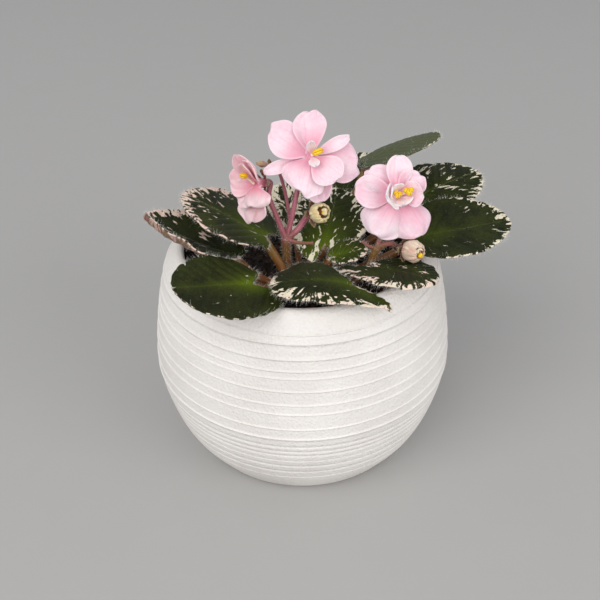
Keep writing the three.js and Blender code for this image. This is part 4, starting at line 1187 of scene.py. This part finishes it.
# %% Petal colours
# A row has the colour at the edge, on the body and near the throat, how clear the veins are, and the glow.
PETAL_LOOKS = {
    "petal": ((0.93, 0.74, 0.80), (0.89, 0.54, 0.64), (0.78, 0.27, 0.39), 0.28, 0.2),
    "petal_lip": ((0.95, 0.84, 0.86), (0.93, 0.74, 0.78), (0.86, 0.46, 0.54), 0.12, 0.3),
    "petal_deep": ((0.97, 0.71, 0.74), (0.94, 0.55, 0.60), (0.78, 0.19, 0.30), 0.25, 0.2),
    "bud_cream": ((0.84, 0.70, 0.40), (0.78, 0.56, 0.28), (0.50, 0.28, 0.12), 0.55, 0.15),
    "bud_rosy": ((0.80, 0.66, 0.50), (0.72, 0.46, 0.36), (0.52, 0.20, 0.18), 0.5, 0.15),
    "bud_green": ((0.66, 0.50, 0.30), (0.60, 0.38, 0.24), (0.50, 0.17, 0.16), 0.5, 0.15),
    "bud_heart": ((0.34, 0.17, 0.04), (0.26, 0.10, 0.02), (0.20, 0.06, 0.012), 0.4, 0.0),
    "sepal": ((0.26, 0.17, 0.08), (0.17, 0.09, 0.04), (0.30, 0.06, 0.06), 0.4, 0.1),
    "filament": ((0.92, 0.88, 0.70), (0.88, 0.80, 0.55), (0.85, 0.72, 0.45), 0.1, 0.2),
}
SOFT = {name: petal_material(name, *look) for name, look in PETAL_LOOKS.items()}
print("petal finishes:", *SOFT)

# %% [markdown]
# ## The flowers
# Each flower is a double: broad outer petals in layers and small curled ones at the heart. A petal is a
# blade with a softly frilled edge, a shallow crease along its middle and sometimes a nick at the tip. All
# of them spring from a small throat, and pairs of yellow pollen sacs stand in front of it.

# %% Flower tables
# A petal's row has its angle, lean, length, width, cup, arch and layer. A tip's has its swerve and its size.
FACING_HEIGHT = 34
TOP_PETALS = [
    (149, 6, 13, 9.6, 0.6, 8, 0), (92, 4, 12.2, 8.8, 0.8, 6, 0.3), (21, -2, 11.6, 3.4, 0.8, -10, 0),
    (-11, -6, 13.8, 10.8, 0.6, 12, -0.4), (-50, 16, 9.6, 9, 0.8, 20, 0.5),
    (-119, 12, 10.2, 12, -1.3, 20, 0.4), (-80, -10, 12.8, 7.2, 1.0, 4, -0.6),
    (195, -8, 13.8, 3.4, 1.0, -6, -0.4), (96, 52, 6, 2.4, 0.4, -20, 0.5), (-78, 48, 4.6, 2.8, 0.4, 0, 0.6)]
RIGHT_PETALS = [
    (168, 8, 12, 8.8, 0.8, 14, 0), (128, 4, 10.8, 7.8, 0.6, 0, -0.4), (82, 8, 11.2, 7, 1.2, 6, 0.2),
    (40, 14, 8.6, 7.6, 0.8, 0, 0), (2, 24, 7, 7, 1.2, -10, 0.3), (-124, 6, 13, 12.4, -2.2, 34, 0.4),
    (-66, 5, 13.2, 11.2, -1.8, 26, 0), (-170, 42, 6.8, 7, 1.4, -20, 0.6), (132, 56, 5.4, 5, 1.2, -10, 0.7),
    (-84, 44, 4.2, 6.6, 1.2, -10, 0.6)]
LEFT_PETALS = [
    (116, 42, 10, 7.6, 0.8, 6, 0), (76, 42, 9.4, 7.6, 0.8, 0, 0.4), (96, 54, 8, 5, 0.6, 10, 0.8),
    (-66, 36, 7, 12.6, -1.4, 30, 0.8), (-76, 8, 10.8, 11.4, 0.8, 10, 0), (-128, 20, 8.8, 8.2, 0.8, 10, -0.2),
    (-160, 20, 9.6, 7.6, 0.8, 10, 0.2), (165, 16, 8.6, 6.4, 0.8, 8, -0.2)]
FLOWERS = {
    "top_flower": dict(
        throat=(3.0, -9.0, 105.2), rise=FACING_HEIGHT, turn=6, finish="petal", petals=TOP_PETALS,
        anthers=[((1.6, 0.6, 3.6), (1.7, 1.0, 0.9), 18)], lips=(8, 9),
        tips={0: (-1.3, 0.8), 1: (-0.8, 0.4), 2: (0.3, 0.5), 3: (-0.6, 1.0), 4: (0.6, 0.2), 5: (1.6, 1.1)}),
    "right_flower": dict(
        throat=(27.8, -12.0, 93.6), rise=FACING_HEIGHT, turn=10, finish="petal", petals=RIGHT_PETALS,
        anthers=[((-0.7, 0.2, 4.1), (1.2, 0.9, 0.9), -20), ((2.5, 0.8, 4.3), (1.5, 1.0, 0.9), 5)], sacs=3,
        lips=(7, 8, 9), tips={0: (-0.6, 0.2), 1: (0.8, 0.4), 3: (-0.6, 0.3), 4: (-0.5, 0.2), 6: (0.9, 0.4)}),
    "left_flower": dict(
        throat=(-12.2, -10.0, 97.3), rise=16, turn=-52, finish="petal_deep", petals=LEFT_PETALS,
        anthers=[((-0.2, 2.4, 5.8), (1.0, 0.9, 1.4), 0)], lips=(), deep=(0, 1, 2), pale=(3,),
        tips={0: (0.5, 0.3), 1: (-0.5, 0.4), 4: (-1.6, 1.1), 6: (-0.6, 0.3)}),
}
print("petals:", {name: len(plan["petals"]) for name, plan in FLOWERS.items()})


# %% Folds of a petal
# The sizes are for a petal FOLD_WIDTH mm wide, and a narrower one has smaller folds.
FOLD_WIDTH = 10
EDGE_WAVE, TIP_WAVE = 0.4, 0.26
CREASE_DEPTH, CREASE_WIDTH = 0.16, 0.16
PLEATS, PLEAT_HEIGHT = 9, 0.02


def petal_folds(u, v, number, frill, broad):
    """Height in mm of the frilled edge, the waved tip, the middle crease and the fine pleats."""
    wave = np.sin(2 * math.pi * (1.7 * u + 0.31 * number) + 1.3 * np.sign(v)) * np.abs(v) ** 3
    near_tip = smooth(u, 0.6, 0.85) * (1 - smooth(u, 0.9, 1.0))
    tip_wave = np.sin(2 * math.pi * (1.3 * v + 0.17 * number)) * near_tip
    crease = -CREASE_DEPTH * np.exp(-(v / CREASE_WIDTH) ** 2) * np.sin(math.pi * u) * broad
    pleats = PLEAT_HEIGHT * np.cos(PLEATS * math.pi * v) * smooth(u, 0.1, 0.5) * broad
    return frill * broad * (EDGE_WAVE * wave + TIP_WAVE * tip_wave) + crease + pleats


# %% One petal
PETAL_FORM = {"widest": 0.62, "fullness": 0.56, "neck": 0.36}
PETAL_TIP = 0.08
PETAL_ROWS, PETAL_COLUMNS = 40, 28
PETAL_THICKNESS = (0.6, 0.34)
NICK_DEPTHS, NICK_WIDTH = (0.2, 0.5), 0.24
POINT_ASIDE, POINT_WIDTH = 0.35, 0.28
NEXT_PETAL = 15
TONE_SWING = 0.12


def facing(rise, turned_by):
    """Turns a shape whose Z looks out of the flower and whose Y points up."""
    return turn((0, 0, 1), turned_by) @ turn((1, 0, 0), 90 - rise)


def petal_shell(angle, lean, length, width, cup, arch, layer, number, frill=0.8, start=0.6, tip=(0, 0)):
    swerve, size = tip
    form = dict(PETAL_FORM, tip=PETAL_TIP * width, length=length, width=width, arch=arch,
                cup=(cup, cup), bend=swerve)
    u, v = blade_grid(PETAL_ROWS, PETAL_COLUMNS)
    reach, across, half = blade_lie(u, v, form)
    broad = width / FOLD_WIDTH
    lift = cup_lift(v, half, form) + petal_folds(u, v, number, frill, broad)
    aside = half * v / (width / 2)
    nick = NICK_DEPTHS[number % 2] * broad * np.exp(-(aside / NICK_WIDTH) ** 2) * smooth(u, 0.7, 1.0)
    from_point = (aside - POINT_ASIDE * np.sign(swerve)) / POINT_WIDTH
    point = size * np.exp(-from_point ** 2) * smooth(u, 0.6, 1.0)
    middle = blade_curl(reach - nick + point, across, lift, form)
    around = math.radians(angle)
    junction = [start * math.cos(around), start * math.sin(around), layer]
    middle = middle @ blade_turn(angle, lean, 0).T + junction
    thick = np.interp(np.abs(v), [0, 1], PETAL_THICKNESS) / 2
    points, faces, source, _ = blade_shell(middle, thick, thick)
    edge_mm = np.minimum((1 - np.abs(v)) * half, (1 - u) * length)
    uv = np.stack([half * v + NEXT_PETAL * number, reach], -1) * MM
    return points, faces, uv.reshape(-1, 2)[source], dict(
        along=u.ravel()[source], edge_mm=edge_mm.ravel()[source], tone=TONE_SWING * math.sin(2.4 * number))


# %% Make the petals
THROAT_DEPTH = 1.8
THROAT_RADIUS = 1.5
THROAT_SIDES = 24
# Each place has a share of the throat's radius and a height.
THROAT_LINE = [(0, -THROAT_DEPTH), (0.7, -THROAT_DEPTH), (0.95, -1.1), (1, -0.4), (1, 0.4), (0.85, 0.8),
               (0.6, 1.0), (0.3, 0.6), (0, 0.5)]
TONE_STEP = 0.35


def in_flower(points, plan):
    """Brings points to the flower's place and turns them the way that it faces."""
    return points @ facing(plan["rise"], plan["turn"]).T + plan["throat"]


throat_line = [(share * THROAT_RADIUS, height) for share, height in THROAT_LINE]
for name, plan in FLOWERS.items():
    points, faces = turned(throat_line, THROAT_SIDES)
    form = Form().add(in_flower(points, plan), faces, 0, along=0.1, edge_mm=3.0, tone=0.0)
    for number, petal in enumerate(plan["petals"]):
        points, faces, uv, values = petal_shell(*petal, number, tip=plan["tips"].get(number, (0, 0)))
        values["tone"] += TONE_STEP * ((number in plan.get("deep", ())) - (number in plan.get("pale", ())))
        form.add(in_flower(points, plan), faces, int(number in plan["lips"]), uv, **values)
    finishes = [SOFT[plan["finish"]], SOFT["petal_lip"]]
    made = form.piece(name + "_petals_fine", finishes, [name + "_petals"], plan["finish"])
    print(name, len(plan["petals"]), "petals,", triangles(made), "triangles")

# %% [markdown]
# ## Pollen sacs
# The anthers are the brightest spot: two glossy yellow sacs side by side with a dark slit between them,
# held on a short pale filament. Each pair is a rounded form pressed in along its middle.


# %% Anther finish
POLLEN_YELLOWS = (0.90, 0.46, 0.0), (0.96, 0.68, 0.01)
SLIT_BROWN = (0.50, 0.20, 0.0)


def anther_material():
    material, tree, shader = new_material("pollen_sac", scatter=0.15, scatter_reach=0.0006)
    place = object_place(tree)
    drift = placed(tree, MOTTLE, Vector=place, Coarse=500.0, Fine=2600.0)
    yellow = blend(tree, soft_step(tree, drift, 0.35, 0.65), *POLLEN_YELLOWS)
    slit = soft_step(tree, value_of(tree, "slit"), 0.35, 0.9)
    tree.links.new(blend(tree, slit, yellow, SLIT_BROWN), shader.inputs["Base Color"])
    tree.links.new(soft_step(tree, drift, 0.3, 0.7, 0.3, 0.5), shader.inputs["Roughness"])
    bumped(tree, shader, placed(tree, CELLS, Vector=place, Scale=5200.0, Roundness=0.8), 0.00006, 0.6)
    return material


ANTHER = anther_material()
print("anther finish:", len(ANTHER.node_tree.nodes), "nodes")

# %% One pair of sacs, or a group
SAC_SIDES, SAC_RINGS = 28, 18
CLEFT, SMALL_CLEFT = 0.34, 0.12
SLIT_WIDTH = 0.13
WAIST_DEPTH, WAIST_WIDTH = 0.16, 0.3
LOBE_SHARE = 0.7
NEXT_LOBE_TURN = 50


def sac_shell(at, size, turned_by, cleft=CLEFT):
    arc = np.linspace(0, math.pi, SAC_RINGS)[1:-1]
    ball, faces = turned([(0, -1), *((math.sin(t), -math.cos(t)) for t in arc), (0, 1)], SAC_SIDES)
    slit = np.exp(-(ball[:, 1] / SLIT_WIDTH) ** 2) * smooth(ball[:, 2], -0.3, 0.5)
    waist = 1 - WAIST_DEPTH * np.exp(-(ball[:, 0] / WAIST_WIDTH) ** 2)
    ball = ball * np.stack([np.ones(len(ball)), waist, 1 - cleft * slit], -1)
    return (ball * size) @ turn((0, 0, 1), turned_by).T + at, faces, slit


def sac_group(at, size, turned_by, count):
    """One pair of sacs, or a tight group of smaller ones in the same room."""
    at, size = np.array(at), np.array(size)
    if count == 1:
        return [sac_shell(at, size, turned_by)]
    lobe = np.full(3, LOBE_SHARE * size.mean())
    around = np.arange(count) * 2 * math.pi / count + 0.5
    shifts = np.stack([0.5 * np.cos(around), 0.5 * np.sin(around), 0.25 * np.sin(2 * around)], -1) * size
    shifts = shifts @ turn((0, 0, 1), turned_by).T
    return [sac_shell(at + shift, lobe * (1 + 0.1 * k), turned_by + NEXT_LOBE_TURN * k, SMALL_CLEFT)
            for k, shift in enumerate(shifts)]


# %% Make the anthers
FILAMENT_FOOT = np.array([0, 0, 1.7])
FILAMENT_BULGE = [0.15, 0, 0]
FILAMENT_RADII = [0.4, 0.3, 0.3]
FILAMENT_STEPS, FILAMENT_SIDES = 10, 10

for name, plan in FLOWERS.items():
    form = Form()
    for at, size, turned_by in plan["anthers"]:
        for points, faces, slit in sac_group(at, size, turned_by, plan.get("sacs", 1)):
            form.add(in_flower(points, plan), faces, 0, slit=slit)
        halfway = FILAMENT_FOOT + (np.array(at) - FILAMENT_FOOT) * 0.5 + FILAMENT_BULGE
        path = [FILAMENT_FOOT, halfway, np.array(at)]
        points, faces, _ = bar(path, FILAMENT_RADII, FILAMENT_STEPS, FILAMENT_SIDES)
        form.add(in_flower(points, plan), faces, 1, along=0.6, edge_mm=1.0)
    made = form.piece(name + "_pollen_sacs", [ANTHER, SOFT["filament"]], [name + "_anthers"], "anther")
    print(name, "anthers:", triangles(made), "triangles")

# %% [markdown]
# ## The buds
# A bud is a packet of crumpled petals. Petals that wrap a ball are the same blades again, with a strong bend
# inwards. They start at the back of the bud and close over its front, each by a different amount, so they
# leave an uneven mouth. In its dark inside lie the folded edges of more petals, and a pollen sac peeps out.

# %% Bud table
# A curl's row has its reach, where its arc starts and ends, and its height. A sac's has its place and size.
BUDS = {
    "faded_bud": dict(
        centre=(5.5, -12, 88.5), radii=(3.1, 3.6), rise=30, turn=36, finish="bud_cream", petals=6,
        close=(124, 140), blush=-0.1, curls=[(0.17, -150, 120, 0.62)], fold=1.75,
        sac=(0.02, -0.04, 0.52, 0.24), hollow=True),
    "round_bud": dict(
        centre=(32.7, -17.5, 78.3), radii=(3.4, 3.8), rise=14, turn=40, finish="bud_rosy", petals=7,
        close=(138, 156), blush=0.1, curls=[(0.3, 20, 170, 0.72)], sac=(0.02, -0.26, 0.70, 0.26)),
    "small_bud": dict(
        centre=(-11.2, -5.2, 101.1), radii=(1.0, 2.1), rise=12, turn=-88, finish="bud_green", petals=4,
        close=(158, 166), blush=0.1, curls=[], sac=(0, 0, 0.3, 0.3)),
}
print("buds:", *BUDS)


# %% What shows in a bud's mouth
HEART_SHARE, HOLLOW_HEART_SHARE, HEART_TURN = 0.72, 0.5, 25
BUD_SAC, BUD_SAC_TURN = [1.0, 0.8, 0.9], 40
BUD_FOLD = [0.2, 0.38, 0.28, 0.4, 0.2]
CURL_POINTS, CURL_STEPS, CURL_SIDES = 9, 26, 12


def in_bud(points, plan, depth_share):
    """Brings points to the bud's place, first stretched along the bud."""
    return (points * [1, 1, depth_share]) @ facing(plan["rise"], plan["turn"]).T + plan["centre"]


def add_inside(form, plan):
    radius, depth = plan["radii"]
    hollow = plan.get("hollow", False)
    heart_radius = radius * (HOLLOW_HEART_SHARE if hollow else HEART_SHARE)
    heart, faces, _ = sac_shell(np.zeros(3), np.full(3, heart_radius), HEART_TURN)
    form.add(in_bud(heart, plan, 1), faces, 2 if hollow else 0, along=0.0, edge_mm=3.0, tone=0.3)
    *place, size = np.multiply(plan["sac"], radius)
    sac, faces, slit = sac_shell(np.array(place), np.multiply(BUD_SAC, size), BUD_SAC_TURN)
    form.add(in_bud(sac, plan, depth / radius), faces, 1, slit=slit)
    for reach, start, end, height in plan["curls"]:
        arc = np.radians(np.linspace(start, end, CURL_POINTS))
        line = np.stack([reach * np.cos(arc), reach * np.sin(arc), height + 0.05 * np.sin(3 * arc)], -1)
        thick = np.multiply(BUD_FOLD, plan.get("fold", 1))
        fold, faces, _ = bar(line * radius, thick, CURL_STEPS, CURL_SIDES)
        form.add(in_bud(fold, plan, depth / radius), faces, 0, along=0.7, edge_mm=0.4, tone=-0.3)


# %% Make the buds
BUD_CRUMPLE = 1.5
WRAP_INSET, NEXT_WRAP_INSET = 0.36, 0.16
WRAP_OVERLAP = 3.125
GOLDEN_SHARE = 0.618
NEXT_WRAP_TURN = 9


def add_wraps(form, plan):
    """Petals round the bud. Each closes over its front by its own amount."""
    radius, depth = plan["radii"]
    count = plan["petals"]
    least, most = plan["close"]
    for number in range(count):
        wrap_radius = radius - WRAP_INSET - NEXT_WRAP_INSET * (number % 2)
        close = least + (most - least) * (number * GOLDEN_SHARE % 1)
        length = wrap_radius * math.radians(close)
        width = WRAP_OVERLAP * wrap_radius * math.pi / count
        angle = 360 * number / count + NEXT_WRAP_TURN * (number % 2)
        cup = (width / 2) ** 2 / (2 * wrap_radius)
        points, faces, uv, values = petal_shell(
            angle, 0, length, width, cup, -close, -wrap_radius, number, frill=BUD_CRUMPLE, start=0.0)
        values["tone"] += plan["blush"]
        form.add(in_bud(points, plan, depth / radius), faces, 0, uv, **values)


for name, plan in BUDS.items():
    form = Form()
    add_inside(form, plan)
    add_wraps(form, plan)
    finishes = [SOFT[plan["finish"]], ANTHER, SOFT["bud_heart"]]
    made = form.piece(name + "_folded", finishes, [name], "bud")
    print(name, triangles(made), "triangles")

# %% [markdown]
# ## The flower stalks
# Two stalks leave the crown and fork into stalklets, one for each flower and bud. They are crimson above and
# brown-green below, furry all over, and each ends in a calyx of five narrow sepals that holds the flower
# from behind. The paths are the CAD model's own.

# %% Stalk tables
LONG_STALKLET = [0.9, 0.75, 0.75]
SHORT_STALKLET = [1, 0.9]
STALKS = {
    "flower_stalk_left": [
        dict(leaves=(150, 68.4), points=[(-4.4, -10.4, 71.4), (-4.5, -10.8, 75), (-4.6, -11, 79.4)],
             radii=[1.2, 1.3, 1.3, 1.3, 1.5]),
        dict(bears="left_flower", points=[(-4.6, -11, 79), (-7.7, -10.5, 88), (-9.4, -9.4, 93)],
             radii=LONG_STALKLET),
        dict(bears="top_flower", points=[(-4.5, -11, 79), (-2.4, -10.5, 88), (-0.4, -7.6, 96)],
             radii=LONG_STALKLET),
        dict(bears="small_bud", points=[(-3.2, -10.6, 84), (-4.4, -7.6, 92), (-6, -5.6, 98)],
             radii=[0.55, 0.5, 0.5]),
        dict(bears="faded_bud", points=[(-4.4, -11, 79.2), (-1.6, -11.4, 82)], radii=SHORT_STALKLET),
        dict(points=[(-4.4, -11.4, 79.4), (-1, -13, 79), (3.4, -13.4, 79)], radii=[0.8, 0.55, 0.4]),
    ],
    "flower_stalk_right": [
        dict(leaves=(-11, 68),
             points=[(13, -14.6, 67.8), (18.3, -14.2, 69.4), (20.8, -14.8, 74), (22.3, -15, 78.1)],
             radii=[1.2, 1.2, 1.2, 1.25, 1.25, 1.35]),
        dict(bears="right_flower", points=[(22.3, -15, 77.8), (23.4, -13.4, 81), (25.4, -9.4, 86.6)],
             radii=LONG_STALKLET),
        dict(bears="round_bud", points=[(22.2, -15, 77.8), (25.6, -15, 79.6)], radii=SHORT_STALKLET),
        dict(points=[(22.3, -15, 78), (20.2, -15.2, 78.6), (17.8, -15.2, 80.4)], radii=[0.7, 0.5, 0.4]),
    ],
}
print("branches:", {name: len(branches) for name, branches in STALKS.items()})


# %% Calyx
SEPALS = 5
SEPAL_SIZE, SMALL_SEPAL_SIZE = (3.8, 1.7), (1.6, 0.7)
SEPAL_START, SMALL_SEPAL_START = 1.0, 0.4
SEPAL_TURN, SEPAL_LEAN, SEPAL_CUP, SEPAL_ARCH, SEPAL_FRILL = 20, 18, 0.25, -36, 0.4
BEHIND_FLOWER = 0.2
SEPAL_HAIR = 0.5


def flower_plan(name):
    """Centre of a flower or bud, how far its back lies behind that, and the turn that faces it."""
    plan = FLOWERS.get(name) or BUDS[name]
    centre = np.array(plan["throat"] if name in FLOWERS else plan["centre"])
    depth = THROAT_DEPTH if name in FLOWERS else plan["radii"][1]
    return centre, depth, facing(plan["rise"], plan["turn"])


def add_calyx(form, name):
    centre, depth, spin = flower_plan(name)
    small = name == "small_bud"
    length, width = SMALL_SEPAL_SIZE if small else SEPAL_SIZE
    start = SMALL_SEPAL_START if small else SEPAL_START
    for number in range(SEPALS):
        angle = 360 * number / SEPALS + SEPAL_TURN
        points, faces, uv, values = petal_shell(
            angle, SEPAL_LEAN, length, width, SEPAL_CUP, SEPAL_ARCH, 0, number, SEPAL_FRILL, start)
        points = points - [0, 0, depth + GAP + BEHIND_FLOWER]
        form.add(points @ spin.T + centre, faces, 1, uv, hairy=SEPAL_HAIR, **values)


# %% Branches
CUP_LENGTH = 2.2
CUP_RADIUS = 1.5
CUP_SWELL = 1.1
STALK_SIDES = 14
STEPS_PER_SPAN = 14


def add_branch(form, leaves=None, points=(), radii=(), bears=None):
    path, thick = [np.array(p, float) for p in points], list(radii)
    if leaves:
        root, out = crown_root(leaves)
        path = [root, root + ROOT_LENGTH * out, *path]
    if bears:
        centre, depth, spin = flower_plan(bears)
        axis = spin @ [0, 0, 1]
        path += [centre - axis * (depth + GAP + CUP_LENGTH), centre - axis * (depth + GAP)]
        thick += [CUP_SWELL * thick[-1], thick[-1] if bears == "small_bud" else CUP_RADIUS]
    shell, faces, along = bar(path, thick, STEPS_PER_SPAN * (len(path) - 1), STALK_SIDES)
    length = sum(np.linalg.norm(b - a) for a, b in zip(path, path[1:]))
    form.add(shell, faces, 0, surface_of_bar(along, STALK_SIDES, length), hairy=1.0)


# %% Make the stalks
STALK_HAIRS = dict(Density=2.2e6, Length=1.1 * MM, Thickness=0.022 * MM, Lean=0.4, Hair=HAIR)

for seed, (name, branches) in enumerate(STALKS.items()):
    form = Form()
    for branch in branches:
        add_branch(form, **branch)
        if branch.get("bears"):
            add_calyx(form, branch["bears"])
    made = form.piece(name + "_furry", [STALK, SOFT["sepal"]], [name], "stalk")
    grown(made, HAIRS, Seed=40 + seed, **STALK_HAIRS)
    print(name, triangles(made), "triangles")

# %% [markdown]
# ## Floor and light
# A plain pale floor keeps attention on the plant. The photograph was taken in soft daylight from above, a
# little from the left, so one large panel does most of the work, a weaker one fills from the right, and the
# sky is an even pale grey.


# %% Floor
FLOOR_HALF = 8.0
FLOOR_CORNERS = (-1, -1), (1, -1), (1, 1), (-1, 1)
FLOOR_GREYS = (0.43, 0.425, 0.415), (0.46, 0.455, 0.445)


def floor_material():
    material, tree, shader = new_material("pale_floor", roughness=0.7)
    drift = placed(tree, MOTTLE, Vector=object_place(tree), Coarse=3.0, Fine=60.0)
    tree.links.new(blend(tree, drift, *FLOOR_GREYS), shader.inputs["Base Color"])
    return material


floor_mesh = bpy.data.meshes.new("floor")
corners = [(x * FLOOR_HALF, y * FLOOR_HALF, 0) for x, y in FLOOR_CORNERS]
floor_mesh.from_pydata(corners, [], [(0, 1, 2, 3)])
floor_mesh.materials.append(floor_material())
floor = bpy.data.objects.new("floor", floor_mesh)
bpy.context.collection.objects.link(floor)
floor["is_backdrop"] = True
print("floor:", 2 * FLOOR_HALF, "m wide")


# %% Lights
AIM_POINT = Vector((0, 0, 0.06))
# Each row has the panel's place, its width in metres, its power in watts and its colour.
PANELS = {
    "daylight": ((-0.65, -0.95, 1.00), 1.4, 12.6, (1.0, 0.985, 0.965)),
    "fill": ((0.9, -0.8, 0.50), 1.0, 6.0, (1.0, 0.99, 0.98)),
}
for name, (place, size, energy, colour) in PANELS.items():
    light = bpy.data.objects.new(name, bpy.data.lights.new(name, "AREA"))
    light.data.shape = "DISK"
    light.data.size = size
    light.data.energy = energy
    light.data.color = colour
    light.location = place
    light.rotation_mode = "QUATERNION"
    light.rotation_quaternion = (AIM_POINT - light.location).to_track_quat("-Z", "Y")
    bpy.context.collection.objects.link(light)
print("lights:", *PANELS)

# %% Sky
SKY_COLOUR = (0.96, 0.97, 1.0, 1.0)
SKY_STRENGTH = 0.55
world = bpy.data.worlds.new("soft_sky")
world.use_nodes = True
sky = world.node_tree.nodes["Background"].inputs
sky["Color"].default_value = SKY_COLOUR
sky["Strength"].default_value = SKY_STRENGTH
bpy.context.scene.world = world
bpy.context.scene.view_settings.view_transform = "Standard"
print("sky strength:", SKY_STRENGTH)

# %% [markdown]
# ## Sizes and the end
# Every piece's points are clipped to the CAD model's box, and this prints how far the dressed plant grows
# past it.

# %% Finish
seen_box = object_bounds()
low_growth = [round((cad - seen) / MM, 2) for cad, seen in zip(cad_box[0], seen_box[0])]
high_growth = [round((seen - cad) / MM, 2) for seen, cad in zip(seen_box[1], cad_box[1])]
print("grows in mm:", low_growth + high_growth)
